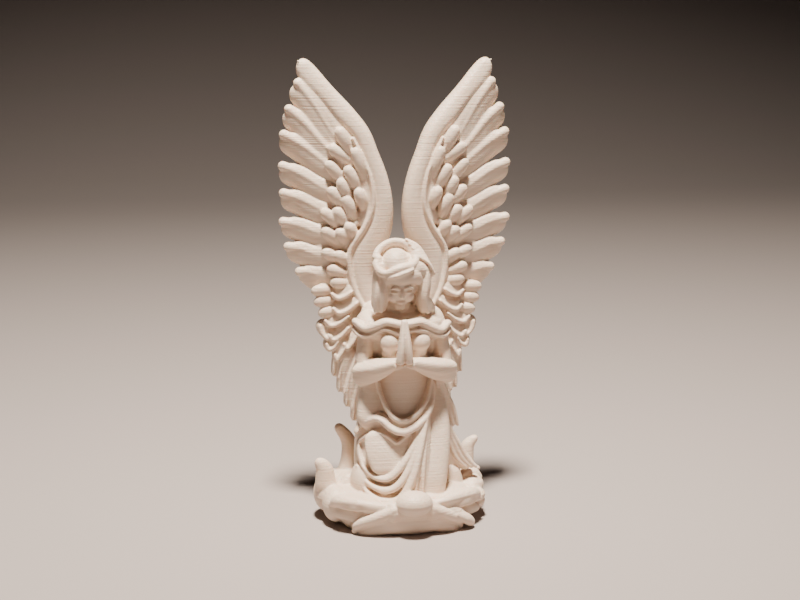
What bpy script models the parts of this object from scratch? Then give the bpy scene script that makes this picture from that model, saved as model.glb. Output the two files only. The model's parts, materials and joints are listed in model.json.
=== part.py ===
"""A small praying angel that kneels on a ring of petals, its two tall wings raised.

The figure stands on Z = 0 and faces -Y. It is one solid. Every free-form point below is
given in hundredths of the figure's height, so FIGURE_HEIGHT alone sets the size.
"""

import math

import bmesh
import bpy
import numpy as np
from mathutils import Matrix, Vector

# Driving sizes: the height in metres, the rest in hundredths of the height.
FIGURE_HEIGHT = 0.100
SOLID_GRAIN = 0.36
SOLID_TRIANGLES = 9600
SKIN_SMOOTHING = 3
RINGS = 28
SEGMENTS = 16

# Wing sizes, in hundredths of the height.
WING_DEPTH_ROOT = 2.0
WING_SWEEP = 0.22
WING_SWEEP_END = 23.0
WING_SHIFT = 0.3
BONE_HALF_DEPTH = 2.7
BEAD_RADIUS = 0.6
BLADE_HALF_WIDTH = 2.95
BLADE_HALF_DEPTH = 1.3
BLADE_DROP = 2.25
BLADE_TILT = 0.34
RIDGE_RADIUS = 1.1
COVERT_HALF_WIDTH = 1.35
CUP_RIM = 0.5
ROOT_LINE = 8.0

# The wing bone, as stations of (inner x, inner z, outer x, outer z) from the tip down.
BONE = (
    (19.5, 101.2, 21.5, 100.2),
    (17.0, 98.6, 21.4, 96.8),
    (13.8, 94.6, 17.5, 92.6),
    (9.4, 89.8, 13.8, 88.1),
    (6.1, 85.5, 9.9, 84.0),
    (4.1, 80.2, 8.0, 80.1),
    (2.2, 74.8, 6.1, 75.2),
    (1.1, 69.5, 5.6, 69.1),
    (1.2, 63.5, 7.4, 64.4),
    (3.2, 58.6, 10.4, 59.5),
    (4.9, 54.3, 10.5, 54.6),
    (4.6, 49.8, 9.3, 49.9),
    (3.5, 46.5, 7.4, 46.3),
)

# Long feathers, as (tip x, tip z, x and z where the ridge passes under the short feathers).
LONG_FEATHERS = (
    (21.0, 97.0, 12.9, 85.2),
    (23.3, 91.4, 15.2, 83.3),
    (24.8, 85.9, 14.8, 79.3),
    (25.3, 79.0, 15.9, 74.2),
    (25.3, 73.0, 16.0, 69.2),
    (25.6, 66.6, 16.9, 64.2),
    (24.7, 61.0, 17.5, 59.4),
    (22.4, 55.2, 17.0, 54.9),
)

# Short feathers that overlap the long ones, as (tip x, tip z, root x, root z).
COVERTS = (
    (12.5, 86.7, 9.6, 80.0),
    (14.8, 83.0, 9.6, 78.6),
    (9.0, 82.3, 6.3, 74.0),
    (15.0, 79.5, 11.0, 74.0),
    (10.9, 78.4, 7.6, 72.0),
    (12.4, 75.7, 9.8, 70.0),
    (14.6, 73.8, 11.2, 68.6),
    (8.5, 73.5, 6.6, 68.0),
    (11.2, 71.9, 8.8, 66.0),
    (13.5, 69.4, 10.4, 64.6),
    (16.2, 69.0, 12.2, 64.4),
    (10.9, 66.0, 8.7, 62.0),
    (16.2, 64.9, 12.4, 61.0),
    (13.0, 64.7, 10.4, 61.0),
    (16.4, 60.0, 12.6, 57.4),
    (13.5, 59.6, 10.4, 56.4),
    (15.6, 56.2, 10.4, 54.0),
    (15.2, 53.0, 10.2, 52.2),
    (19.4, 50.8, 14.2, 51.0),
    (18.9, 48.3, 14.0, 48.6),
    (18.0, 45.7, 13.4, 46.4),
)

# Drooping feathers with a raised rim round the tip, as the (x, z) points of that rim.
CUPS = (
    ((14.9, 49.9), (13.5, 48.7), (12.0, 49.1), (10.2, 50.4)),
    ((14.6, 46.6), (13.3, 45.4), (11.5, 45.9), (9.0, 48.0)),
    ((16.4, 43.9), (15.0, 42.5), (13.1, 43.1), (10.8, 45.0)),
    ((15.6, 40.6), (14.4, 39.3), (12.6, 40.3), (10.9, 42.4)),
    ((17.3, 42.8), (17.0, 41.0), (15.8, 39.6), (14.6, 40.4)),
    ((12.3, 38.7), (11.4, 37.4), (10.0, 39.0), (8.8, 41.2)),
    ((16.0, 38.8), (15.5, 37.1), (14.3, 37.6), (13.2, 39.4)),
    ((14.2, 36.3), (13.7, 34.8), (12.8, 36.0), (11.5, 38.2)),
)

# Long feathers that hang beside the robe, as (tip x, tip z, root x, root z, half width).
LOW_FEATHERS = (
    (14.0, 30.6, 11.4, 40.0, 1.5),
    (12.8, 27.0, 10.0, 38.0, 1.6),
    (11.2, 23.6, 8.2, 35.0, 1.7),
    (9.8, 20.4, 6.8, 32.0, 1.6),
)

# The robe, as rings of (z, half width, front y, back y).
ROBE = (
    (2.0, 9.5, -11.5, 7.5),
    (8.0, 10.2, -12.0, 8.0),
    (14.0, 10.4, -11.2, 8.0),
    (20.0, 10.0, -9.8, 7.0),
    (24.0, 9.2, -8.8, 6.0),
    (28.0, 7.9, -8.2, 5.0),
    (32.0, 6.8, -7.8, 4.2),
    (36.0, 6.2, -7.2, 3.8),
    (40.0, 6.4, -7.0, 3.8),
    (44.0, 7.0, -6.6, 3.8),
    (48.0, 4.6, -4.5, 3.0),
)

# The petal base, as rings of (z, half width, front y, back y).
BASE = (
    (-2.5, 12.4, -12.0, 12.6),
    (0.0, 13.8, -13.6, 14.0),
    (2.0, 15.0, -14.0, 15.0),
    (4.5, 15.8, -14.4, 16.0),
    (6.5, 15.8, -14.4, 16.0),
    (8.0, 13.6, -12.8, 13.6),
    (8.8, 9.0, -9.0, 9.0),
)

# Plain petals at the sides and back, as (angle from the front in degrees, reach, lip height).
PETALS = (
    (-86, 17.8, 7.6),
    (92, 17.4, 7.4),
    (-122, 17.6, 7.4),
    (126, 18.0, 7.4),
    (-155, 18.4, 7.8),
    (158, 18.6, 7.8),
    (180, 19.4, 8.2),
)
ROBE_BACK_SHARE = 0.62
FACE_BOW = 24.0

# Folds of the robe's front, as ((x, z) points, half width, how far they stand out).
FOLDS = (
    (((-9.9, 15.2), (-9.0, 13.2), (-7, 11.7), (-4.3, 11.7), (-1.9, 13.8), (1, 18), (3.4, 24)), 0.7, 0.8),
    (((-10.2, 12.8), (-8.9, 10.6), (-6, 9.2), (-3.5, 9.5), (-1.2, 11.6), (1.4, 16.5), (4, 24.5)), 0.8, 1.0),
    (((-9.8, 10.2), (-8.3, 8.1), (-4.9, 6.8), (-2, 7.5), (0.6, 11.4), (2.6, 17.5), (4.7, 25)), 0.9, 1.3),
    (((1.2, 6.0), (1.9, 13.2), (2.8, 17.5), (3.7, 22.4), (5.0, 27.0)), 0.7, 1.0),
    (((3.0, 6.0), (3.3, 13.2), (3.9, 18.5), (4.7, 24.0), (5.6, 29.0)), 0.6, 1.0),
)

FRONT = Vector((0, -1, 0))
UP = Vector((0, 0, 1))


def along(points, shares):
    """Points on the smooth line through the given ones, at shares of its length."""
    points = np.asarray(points, float)
    if points.ndim == 1:
        points = points[:, None]
    if len(points) == 1:
        points = np.repeat(points, 2, axis=0)
    steps = np.linalg.norm(np.diff(points, axis=0), axis=1)
    if points.shape[1] == 1:
        steps = np.ones(len(points) - 1)
    knots = np.concatenate(([0.0], np.cumsum(steps))) / steps.sum()
    slopes = np.empty_like(points)
    slopes[1:-1] = (points[2:] - points[:-2]) / (knots[2:] - knots[:-2])[:, None]
    slopes[0] = (points[1] - points[0]) / (knots[1] - knots[0])
    slopes[-1] = (points[-1] - points[-2]) / (knots[-1] - knots[-2])
    shares = np.clip(np.asarray(shares, float), 0, 1)
    index = np.clip(np.searchsorted(knots, shares, side="right") - 1, 0, len(knots) - 2)
    span = (knots[index + 1] - knots[index])[:, None]
    u = (shares - knots[index])[:, None] / span
    start, end = points[index], points[index + 1]
    return (
        (2 * u**3 - 3 * u**2 + 1) * start
        + (u**3 - 2 * u**2 + u) * span * slopes[index]
        + (3 * u**2 - 2 * u**3) * end
        + (u**3 - u**2) * span * slopes[index + 1]
    )


def unit(rows):
    """The same vectors, each made one long."""
    return rows / np.maximum(np.linalg.norm(rows, axis=1, keepdims=True), 1e-9)


def added(clay, piece):
    """Adds one finished piece to the clay."""
    bmesh.ops.recalc_face_normals(piece, faces=piece.faces[:])
    mesh = bpy.data.meshes.new("piece")
    piece.to_mesh(mesh)
    piece.free()
    clay.from_mesh(mesh)
    bpy.data.meshes.remove(mesh)


def stroke(clay, spine, half_width, half_depth, face=FRONT, blunt=1.0, boxy=1.0):
    """A rounded body drawn along a spine: a ball stretched over it, its ends closed round.

    half_width is measured across the spine and half_depth along face; each is one value or
    a profile spread evenly from start to end. blunt sets how far the round ends reach, and
    boxy below 1 squares the section.
    """
    piece = bmesh.new()
    bmesh.ops.create_uvsphere(piece, u_segments=SEGMENTS, v_segments=RINGS, radius=1)
    ball = np.array([corner.co for corner in piece.verts])
    shares = (1 + ball[:, 2]) / 2
    centres = along(spine, shares)
    ahead = along(spine, np.minimum(shares + 0.01, 1))
    behind = along(spine, np.maximum(shares - 0.01, 0))
    tangents = unit(ahead - behind)
    faces = np.tile(np.array(face, float), (len(ball), 1))
    across = unit(np.cross(tangents, faces))
    faces = unit(np.cross(across, tangents))
    widths = along(np.atleast_1d(half_width), shares)[:, 0]
    depths = along(np.atleast_1d(half_depth), shares)[:, 0]
    length = np.linalg.norm(np.diff(np.asarray(spine, float), axis=0), axis=1).sum()
    reach = np.minimum(shares, 1 - shares) * length
    turn = np.clip(1 - reach / np.maximum(blunt * widths, 1e-6), 0, 1)
    closing = np.sqrt(1 - turn**2)
    rim = np.hypot(ball[:, 0], ball[:, 1])[:, None]
    section = np.where(rim < 1e-6, 0, ball[:, :2] / np.maximum(rim, 1e-9))
    section = np.sign(section) * np.abs(section) ** boxy
    sideways = section[:, 0] * widths * closing
    outward = section[:, 1] * depths * closing
    placed = centres + across * sideways[:, None] + faces * outward[:, None]
    for corner, place in zip(piece.verts, placed):
        corner.co = place
    added(clay, piece)


def ellipsoid(clay, centre, half_sizes, turn_x=0.0):
    """A ball stretched to three half sizes and tipped about X by turn_x degrees."""
    matrix = (
        Matrix.Translation(centre)
        @ Matrix.Rotation(math.radians(turn_x), 4, "X")
        @ Matrix.Diagonal((*half_sizes, 1))
    )
    piece = bmesh.new()
    bmesh.ops.create_uvsphere(piece, u_segments=32, v_segments=20, radius=1, matrix=matrix)
    added(clay, piece)


def loft(clay, rings):
    """A body of oval rings (z, half width, front y, back y), closed at both ends."""
    count = 48
    rows = []
    piece = bmesh.new()
    for z, half, front, back in along(rings, np.linspace(0, 1, 40)):
        row = []
        for step in range(count):
            angle = 2 * math.pi * step / count
            middle, depth = (front + back) / 2, (back - front) / 2
            place = (half * math.cos(angle), middle + depth * math.sin(angle), z)
            row.append(piece.verts.new(place))
        rows.append(row)
    for lower, upper in zip(rows, rows[1:]):
        for step in range(count):
            after = (step + 1) % count
            piece.faces.new((lower[step], lower[after], upper[after], upper[step]))
    piece.faces.new(rows[0][::-1])
    piece.faces.new(rows[-1])
    added(clay, piece)


def robe_front(x, z):
    """The robe's front y at this width and height."""
    heights = [ring[0] for ring in ROBE]
    half, front, back = (np.interp(z, heights, [r[i] for r in ROBE]) for i in (1, 2, 3))
    share = min(abs(x) / half, 0.97)
    return (front + back) / 2 - (back - front) / 2 * math.sqrt(1 - share**2)


def on_robe(points, lift):
    """The given (x, z) points laid on the robe's front, this far out of it."""
    return [(x, robe_front(x, z) - lift, z) for x, z in points]


def wing_y(x):
    """How far back the wing's front surface lies at this distance from the middle."""
    return WING_DEPTH_ROOT + WING_SWEEP * min(abs(x), WING_SWEEP_END)


def on_wing(side, points, lift):
    """The given (x, z) points laid on one wing, this far in front of its surface."""
    return [(side * x + WING_SHIFT, wing_y(x) - lift, z) for x, z in points]


def feather(clay, side, tip, under):
    """A long feather: a blade thick along its upper edge, which leans forward over the next."""
    tip, under = np.array(tip), np.array(under)
    reach = (tip[0] - ROOT_LINE) / (tip[0] - under[0])
    root = tip + (under - tip) * reach
    run = (root - tip) / np.linalg.norm(root - tip)
    down = np.array((-run[1], run[0]))
    down = down if down[1] < 0 else -down
    middle = (tip + under) / 2 - down * 0.4
    blade = [tip + down * (BLADE_DROP - 0.2) + run * 0.9, middle + down * BLADE_DROP]
    blade += [under + down * BLADE_DROP, root + down * (BLADE_DROP - 0.6)]
    face = Vector((side * down[0] * BLADE_TILT, -1, down[1] * BLADE_TILT))
    widths = np.array((0.85, 1.0, 1.0, 0.8)) * BLADE_HALF_WIDTH
    stroke(clay, on_wing(side, blade, -1.1), widths, BLADE_HALF_DEPTH, face)
    edge = RIDGE_RADIUS
    ridge = [place + down * edge for place in (tip, middle, under, root)]
    sizes = (RIDGE_RADIUS, RIDGE_RADIUS, RIDGE_RADIUS, RIDGE_RADIUS * 0.85, RIDGE_RADIUS * 0.7)
    stroke(clay, on_wing(side, ridge, -0.7), sizes, (1.2, 1.2, 1.1, 1.0))


def short_feather(clay, side, tip, root):
    """A short feather: a plump tip that thins and sinks towards its root."""
    tip, root = np.array(tip), np.array(root)
    run = (root - tip) / np.linalg.norm(root - tip)
    down = np.array((-run[1], run[0]))
    down = down if down[1] < 0 else -down
    half = COVERT_HALF_WIDTH
    middle = (tip + root) / 2 - down * 0.2
    path = [tip + down * half * 0.6 + run * 0.2, middle + down * half * 0.6]
    path.append(root + down * half * 0.5)
    lifts = (1.0, 0.4, -1.2)
    placed = [on_wing(side, [point], lift)[0] for point, lift in zip(path, lifts)]
    face = Vector((side * down[0] * BLADE_TILT, -1, down[1] * BLADE_TILT))
    stroke(clay, placed, (half * 0.8, half, half * 0.9, half * 0.6), (0.9, 1.2, 1.0), face)


def cup(clay, side, rim):
    """A drooping feather: a hollow face inside a raised rim."""
    rim = np.array(rim)
    lips = (CUP_RIM * 0.8, CUP_RIM * 1.15, CUP_RIM, CUP_RIM * 0.7)
    stroke(clay, on_wing(side, rim, 0.9), lips, 0.9)
    inner = rim + (-0.5, 0.9)
    stroke(clay, on_wing(side, inner, -0.3), (1.2, 1.6, 1.5, 1.2), 1.4)


def wing(clay, side):
    """One raised wing: its bone, bed, long feathers, short feathers and drooping feathers."""
    stations = np.array(BONE)
    middle = (stations[:, :2] + stations[:, 2:]) / 2
    widths = np.linalg.norm(stations[:, 2:] - stations[:, :2], axis=1) / 2
    slimming = np.interp(np.linspace(0, 1, len(widths)), (0, 0.3, 1), (0.6, 1, 1))
    depths = BONE_HALF_DEPTH * slimming
    spine = on_wing(side, middle, -BONE_HALF_DEPTH * 0.75)
    lengths = np.linalg.norm(np.diff(np.array(spine), axis=0), axis=1)
    marks = np.concatenate(([0], np.cumsum(lengths))) / lengths.sum()
    even = np.linspace(0, 1, 25)
    stroke(clay, spine, np.interp(even, marks, widths), np.interp(even, marks, depths), boxy=0.8)
    bead = [(row[2] + 0.1, row[3]) for row in BONE[4:]]
    stroke(clay, on_wing(side, bead, 0.3), (0.3, BEAD_RADIUS, BEAD_RADIUS), 0.9)
    bed = (
        (12.6, 88.0), (10.8, 82.0), (10.2, 76.0), (10.6, 69.0), (12.4, 62.0),
        (12.8, 55.0), (11.8, 47.0), (9.6, 38.0), (8.2, 27.0),
    )
    bed_widths = (1.6, 3.6, 5.4, 6.6, 6.2, 5.2, 5.0, 4.2, 1.8)
    stroke(clay, on_wing(side, bed, -1.4), bed_widths, 1.3)
    web = [(row[2] + 0.3, row[3] - 0.6) for row in BONE[1:9]]
    stroke(clay, on_wing(side, web, -1.3), (1.2, 2.4, 2.8, 2.8, 2.2), 1.6)
    for tip_x, tip_z, under_x, under_z in LONG_FEATHERS:
        feather(clay, side, (tip_x, tip_z), (under_x, under_z))
    for tip_x, tip_z, root_x, root_z in COVERTS:
        short_feather(clay, side, (tip_x, tip_z), (root_x, root_z))
    for rim in CUPS:
        cup(clay, side, rim)
    for tip_x, tip_z, root_x, root_z, half in LOW_FEATHERS:
        middle = ((tip_x + root_x) / 2 + 0.4, (tip_z + root_z) / 2)
        path = ((tip_x, tip_z), middle, (root_x, root_z))
        stroke(clay, on_wing(side, path, -0.4), (half * 0.7, half, half), (1.0, 1.5, 1.7))
        for edge in (-0.75, 0.65):
            shares = (0.5, 1, 1.2)
            vein = [(x + edge * half * s, z + edge * 0.4) for (x, z), s in zip(path, shares)]
            stroke(clay, on_wing(side, vein, 0.5), (0.25, 0.4, 0.3), 0.8)


def on_face(x, up, out):
    """The point this far across, up and out from the middle of the bowed face."""
    bow = math.radians(FACE_BOW)
    y = -5.6 - out * math.cos(bow) - up * math.sin(bow)
    z = 52.6 - out * math.sin(bow) + up * math.cos(bow)
    return (x - 0.8, y, z)


def head(clay):
    """The bowed head: face, dome, the rolled band round it, and the hair at each side."""
    ellipsoid(clay, (-1.9, -6.0, 57.7), (3.4, 3.4, 3.7), 35)
    ellipsoid(clay, (-1.0, -4.0, 55.6), (4.8, 4.0, 5.0), 30)
    ellipsoid(clay, (-0.8, -5.6, 52.6), (3.4, 3.2, 4.3), FACE_BOW)
    ellipsoid(clay, (-1.6, -3.4, 58.4), (4.2, 2.8, 3.5))
    ellipsoid(clay, (-0.2, -0.6, 54.0), (5.6, 4.6, 7.2))
    band = (
        (-6.3, -6.4, 58.7), (-5.3, -4.8, 60.6), (-2.7, -3.9, 62.1), (0.0, -3.9, 62.0),
        (1.9, -4.8, 60.6), (2.5, -6.6, 58.8), (1.5, -8.4, 57.8), (-0.6, -9.3, 57.5),
        (-2.6, -9.5, 56.9), (-4.4, -9.1, 56.2), (-5.8, -8.0, 56.9), (-6.3, -6.4, 58.7),
    )
    stroke(clay, band, 0.9, 0.9, FRONT + UP)
    brow = ((1.6, -8.6, 57.2), (0.0, -9.2, 56.6), (-2.2, -9.4, 55.9), (-4.2, -8.6, 55.4))
    stroke(clay, brow, (0.4, 0.6, 0.6, 0.4), 1.2, FRONT)
    sweep = ((1.0, -8.0, 57.6), (3.0, -7.2, 57.0), (4.6, -6.2, 56.0), (6.2, -5.2, 55.4))
    stroke(clay, sweep, (0.6, 1.1, 1.2, 0.5), (0.8, 1.4, 1.2, 0.6), UP)
    for share in (0.0, 1.0, 2.0, 3.0):
        lock = (
            (0.6 + share * 0.6, -3.2 - share * 0.6, 62.0 - share * 0.9),
            (2.9 + share * 0.6, -3.9 - share * 0.5, 60.4 - share * 1.0),
            (4.5 + share * 0.45, -4.4 - share * 0.3, 58.2 - share * 0.9),
        )
        stroke(clay, lock, (0.6, 0.85, 0.6), 1.2)
    left = ((-4.9, -5.2, 58.4), (-4.8, -5.6, 55.0), (-5.0, -5.8, 51.6), (-5.4, -5.0, 47.4))
    stroke(clay, left, (1.4, 2.0, 1.9, 1.7), 2.2, boxy=0.85)
    for shift in (-0.9, 0.3):
        curl = [(x + shift * share, y - 1.9, z) for (x, y, z), share in zip(left, (0.4, 1, 1.1, 1))]
        stroke(clay, curl, (0.4, 0.6, 0.7, 0.5), 0.8)
    right = ((4.6, -5.2, 56.0), (4.5, -5.6, 53.0), (4.2, -5.4, 50.2), (5.0, -4.6, 46.8))
    stroke(clay, right, (1.4, 1.5, 1.5, 1.7), 2.0, boxy=0.85)
    curl = [(x + 0.3, y - 1.7, z) for x, y, z in right]
    stroke(clay, curl, (0.4, 0.6, 0.6, 0.5), 0.8)
    stroke(clay, ((2.9, -4.4, 56.0), (2.9, -4.6, 51.0)), 1.4, 2.0)
    stroke(clay, (on_face(0, 1.4, 2.8), on_face(0, -0.6, 3.6)), (0.4, 0.6), (0.5, 0.8))
    for side in (-1, 1):
        ellipsoid(clay, on_face(side * 1.4, 0.6, 2.7), (0.9, 0.6, 0.4), FACE_BOW)
        ellipsoid(clay, on_face(side * 1.6, -1.0, 2.1), (1.3, 1.0, 1.3), FACE_BOW)
        ridge = [on_face(side * x, up, 2.9) for x, up in ((0.5, 1.5), (1.5, 1.9), (2.5, 1.5))]
        stroke(clay, ridge, (0.3, 0.4, 0.3), 0.4)
    ellipsoid(clay, on_face(0, -1.9, 2.9), (1.0, 0.6, 0.45), FACE_BOW)
    ellipsoid(clay, on_face(0, -3.4, 2.2), (1.3, 0.9, 0.9), FACE_BOW)
    stroke(clay, ((-0.6, -1.5, 43.6), (-0.8, -4.4, 51.0)), (3.2, 2.3), 2.4)


def bust(clay):
    """The cape, shoulders, arms and joined hands."""
    cape = (
        (42.4, 9.4, -6.6, 3.4), (43.4, 10.2, -8.3, 3.8), (44.2, 9.8, -7.9, 3.8),
        (45.0, 7.6, -6.6, 3.6), (46.8, 3.8, -4.6, 3.0),
    )
    loft(clay, cape)
    upper = (
        (-10.6, -3.0, 45.2), (-8.4, -5.3, 43.9), (-6.2, -7.0, 44.7), (-4.0, -8.0, 45.6),
        (-1.0, -8.9, 45.1), (1.2, -8.8, 45.3), (3.2, -8.2, 45.4), (6.0, -7.0, 43.9),
        (8.2, -5.4, 43.0), (10.4, -3.2, 44.2),
    )
    stroke(clay, upper, 0.85, 1.3)
    lower = (
        (-10.6, -2.8, 43.2), (-9.4, -4.2, 42.2), (-7.6, -5.7, 42.4), (-4.6, -7.6, 44.0),
        (-1.2, -8.5, 43.2), (1.3, -8.5, 43.8), (4.0, -7.8, 43.5), (7.3, -6.1, 42.0),
        (9.2, -4.6, 41.7), (10.5, -2.8, 42.6),
    )
    stroke(clay, lower, 0.6, 1.2)
    ellipsoid(clay, (-7.2, -1.3, 43.4), (2.7, 4.3, 3.4))
    ellipsoid(clay, (-4.6, -2.6, 43.2), (4.0, 4.4, 2.8))
    ellipsoid(clay, (6.5, -1.3, 43.4), (3.4, 4.6, 4.2))
    ellipsoid(clay, (4.0, -2.6, 43.4), (4.0, 4.6, 3.2))
    for side in (-1, 1):
        arm = (
            (side * 7.5 + 0.4, -2.0, 44.0), (side * 8.1 + 0.4, -2.6, 40.0),
            (side * 8.8 + 0.4, -3.4, 34.2),
        )
        stroke(clay, arm, (1.8, 2.0, 2.1), 2.5)
        ellipsoid(clay, (0.1 + side * 3.2, -7.6, 41.0), (2.3, 2.1, 2.3))
        ellipsoid(clay, (side * 5.8, -1.6, 40.0), (2.6, 3.0, 4.6))
        ellipsoid(clay, (side * 5.4, 2.4, 44.6), (3.0, 2.4, 3.4))
        stroke(clay, ((0.1 + side * 3.2, -6.8, 41.0), (-0.1 + side * 3.0, -6.4, 36.0)), 1.8, 2.2)
        wrist = (-0.9 + side * 1.3, -12.0, 37.4)
        forearm = ((side * 9.4 + 0.5, -3.6, 34.2), (side * 6.0 - 0.1, -8.4, 35.6), wrist)
        stroke(clay, forearm, (1.9, 1.6, 0.9), (2.9, 2.4, 1.3), blunt=0.2, boxy=0.6)
        sleeve = ((side * 9.7 + 0.5, -3.4, 32.7), (side * 6.4 - 0.1, -7.4, 34.3), wrist)
        stroke(clay, sleeve, (1.9, 1.7, 0.9), (2.5, 2.2, 1.2), blunt=0.2, boxy=0.7)
        palm = (
            (-0.9 + side * 1.0, -12.9, 37.2), (-0.9 + side * 0.7, -13.3, 41.0),
            (-0.95 + side * 0.25, -12.8, 47.0),
        )
        stroke(clay, palm, (0.95, 0.75, 0.4), (1.5, 1.3, 0.6))
    stroke(clay, ((-0.4, -6.0, 38.0), (-0.8, -12.0, 38.4)), 1.5, 1.4, UP)


def drapery(clay):
    """The folds, hems and panels that hang on the robe."""
    loft(clay, ROBE)
    hip = ((-6.0, 36.0), (-6.2, 31.0), (-6.6, 27.0), (-7.0, 21.0))
    stroke(clay, on_robe(hip, -0.9), (2.6, 3.1, 3.4, 3.4), 2.2, boxy=0.8)
    leg = ((6.2, 34.0), (6.9, 29.0), (7.2, 24.0), (6.8, 18.0), (5.8, 11.0), (4.8, 5.0))
    depths = (1.6, 2.3, 2.6, 2.6, 2.6, 2.4)
    stroke(clay, on_robe(leg, -0.9), (1.5, 2.2, 3.0, 3.3, 3.3, 3.2), depths, boxy=0.8)
    stroke(clay, on_robe(((4.6, 28.0), (2.8, 18.0), (0.8, 6.0)), 0.0), (1.3, 2.5, 3.4), 1.3)
    sash = ((-9.0, 22.6), (-6.0, 24.6), (-2.4, 22.6), (0.8, 23.0), (3.8, 25.6), (5.6, 30.0))
    stroke(clay, on_robe(sash, 0.2), (0.6, 1.0, 1.3, 1.3, 1.2, 0.8), 1.2)
    neckline = (
        (-6.6, 35.0), (-5.9, 32.0), (-5.1, 28.9), (-3.8, 25.9), (-2.5, 24.5), (-0.7, 24.0),
        (1.2, 24.6), (3.0, 26.1), (4.6, 28.2), (6.0, 32.0), (6.6, 35.0),
    )
    stroke(clay, on_robe(neckline, 1.4), (0.4, 0.5, 0.55, 0.5, 0.4), 0.9)
    hem = (
        (-10.6, 20.2), (-9.4, 22.1), (-7.9, 23.7), (-6.4, 24.4), (-5.0, 23.9), (-3.8, 22.8),
        (-2.4, 22.0), (-0.9, 21.7), (0.8, 22.2), (2.8, 23.4), (4.6, 25.0), (5.9, 27.6),
        (6.4, 31.4),
    )
    stroke(clay, on_robe(hem, 1.5), (0.5, 0.75, 0.8, 0.75, 0.5), 1.2)
    line = (
        (-10.0, 17.9), (-7.9, 20.4), (-5.6, 21.2), (-3.8, 20.5), (-2.2, 19.4), (-0.5, 20.4),
        (1.0, 21.2),
    )
    stroke(clay, on_robe(line, 0.5), 0.45, 0.8)
    knee = ((-5.6, 22.0), (-5.0, 17.5), (-4.2, 12.4))
    stroke(clay, on_robe(knee, 0.1), (3.4, 3.9, 2.9), (0.9, 1.1, 0.8), blunt=0.5, boxy=0.6)
    ellipsoid(clay, (-8.6, -4.8, 9.4), (3.0, 4.6, 4.6))
    band = ((-10.0, 10.0), (-8.8, 8.0), (-6.0, 6.4), (-2.4, 6.2), (1.0, 8.6))
    stroke(clay, on_robe(band, 0.0), (1.2, 1.9, 1.7, 1.2), 1.8)
    for path, half, lift in FOLDS:
        stroke(clay, on_robe(path, lift), (half * 0.5, half, half, half * 0.6), half * 1.5)
    shawl = (
        ((7.4, -3.6, 33.0), (8.8, -3.2, 28.0), (10.0, -2.8, 24.6), (11.2, -2.4, 20.4)),
        ((9.6, -2.8, 21.2), (11.2, -2.8, 17.2), (13.0, -2.6, 13.4), (15.6, -2.4, 10.6)),
    )
    for path in shawl:
        stroke(clay, path, (0.8, 1.5, 1.9, 1.6), (1.2, 1.9, 1.8, 1.2), blunt=0.7)
        for shift in (-0.9, 0.3, 1.4):
            shares = (0.4, 0.8, 1.0, 0.9)
            ridge = [(x + shift * s, y - 1.5, z + 0.2) for (x, y, z), s in zip(path, shares)]
            stroke(clay, ridge, (0.3, 0.45, 0.5, 0.4), 0.6)
        inner = [(x - 2.2, y + 1.0, z - 0.6) for x, y, z in path]
        stroke(clay, inner, (1.2, 2.0, 2.2, 1.4), (1.6, 2.6, 2.6, 1.6))
    for x in (-8.0, -4.6, -1.2, 2.2, 5.6, 8.6):
        heights = (32.0, 24.0, 14.0, 6.0)
        reach = [x * (0.6 + 0.4 * (32 - z) / 26) for z in heights]
        fold = []
        for place, z in zip(reach, heights):
            fold.append((place, ROBE_BACK_SHARE * -robe_front(place, z), z))
        stroke(clay, fold, (0.7, 1.3, 1.5, 1.6), (1.2, 1.6, 1.8, 1.8))


def around(angle, radius, z):
    """A point of the base at this angle, in degrees from the front towards +X."""
    turn = math.radians(angle)
    return (radius * math.sin(turn), -radius * math.cos(turn), z)


def petals(clay):
    """The ring of petals that the figure kneels on."""
    loft(clay, BASE)
    for angle, reach, lip in PETALS:
        path = (
            around(angle, 9, -1.5), around(angle, 14.5, 1.6), around(angle, reach - 1.6, lip - 3.2),
            around(angle, reach, lip),
        )
        stroke(clay, path, (4.0, 6.0, 6.2, 4.2), (1.6, 1.6, 1.5, 0.9), Vector(around(angle, 1, 0)))
        inner = (around(angle, 7, 7.4), around(angle, 12.5, 7.0), around(angle, reach, lip))
        stroke(clay, inner, (4.0, 5.6, 4.0), (1.4, 1.4, 0.8), UP)
    front_petal(clay)
    side_petals(clay)
    curled_tips(clay)


def front_petal(clay):
    """The petal at the front, whose tip curls over into a round knob."""
    ellipsoid(clay, (0.6, -16.6, 7.4), (4.0, 3.6, 2.8), -12)
    ellipsoid(clay, (0.1, -10.4, 3.2), (11.2, 6.7, 4.6))
    tent = (
        (-11.8, -11.6, 0.8), (-9.4, -13.6, 3.1), (-5.4, -15.0, 4.9), (0.2, -15.8, 5.8),
        (5.6, -15.0, 4.9), (9.2, -13.8, 3.2), (11.4, -12.0, 1.2),
    )
    stroke(clay, tent, (1.2, 2.2, 2.9, 2.2, 1.2), (1.3, 1.7, 1.9, 1.7, 1.3), blunt=0.7)
    skirt = [(x * 0.99, y, z - 2.6) for x, y, z in tent]
    stroke(clay, skirt, (1.0, 1.9, 2.6, 1.9, 1.0), (1.2, 1.6, 1.8, 1.6, 1.2))
    for side in (-1, 1):
        ellipsoid(clay, (0.4 + side * 4.2, -16.3, 5.5), (1.8, 1.5, 2.2))
    leaf = ((6.2, -14.8, 6.2), (10.0, -13.8, 4.6), (13.4, -11.4, 1.4))
    stroke(clay, leaf, (0.5, 1.2, 1.0), (0.9, 1.6, 1.3))


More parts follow.
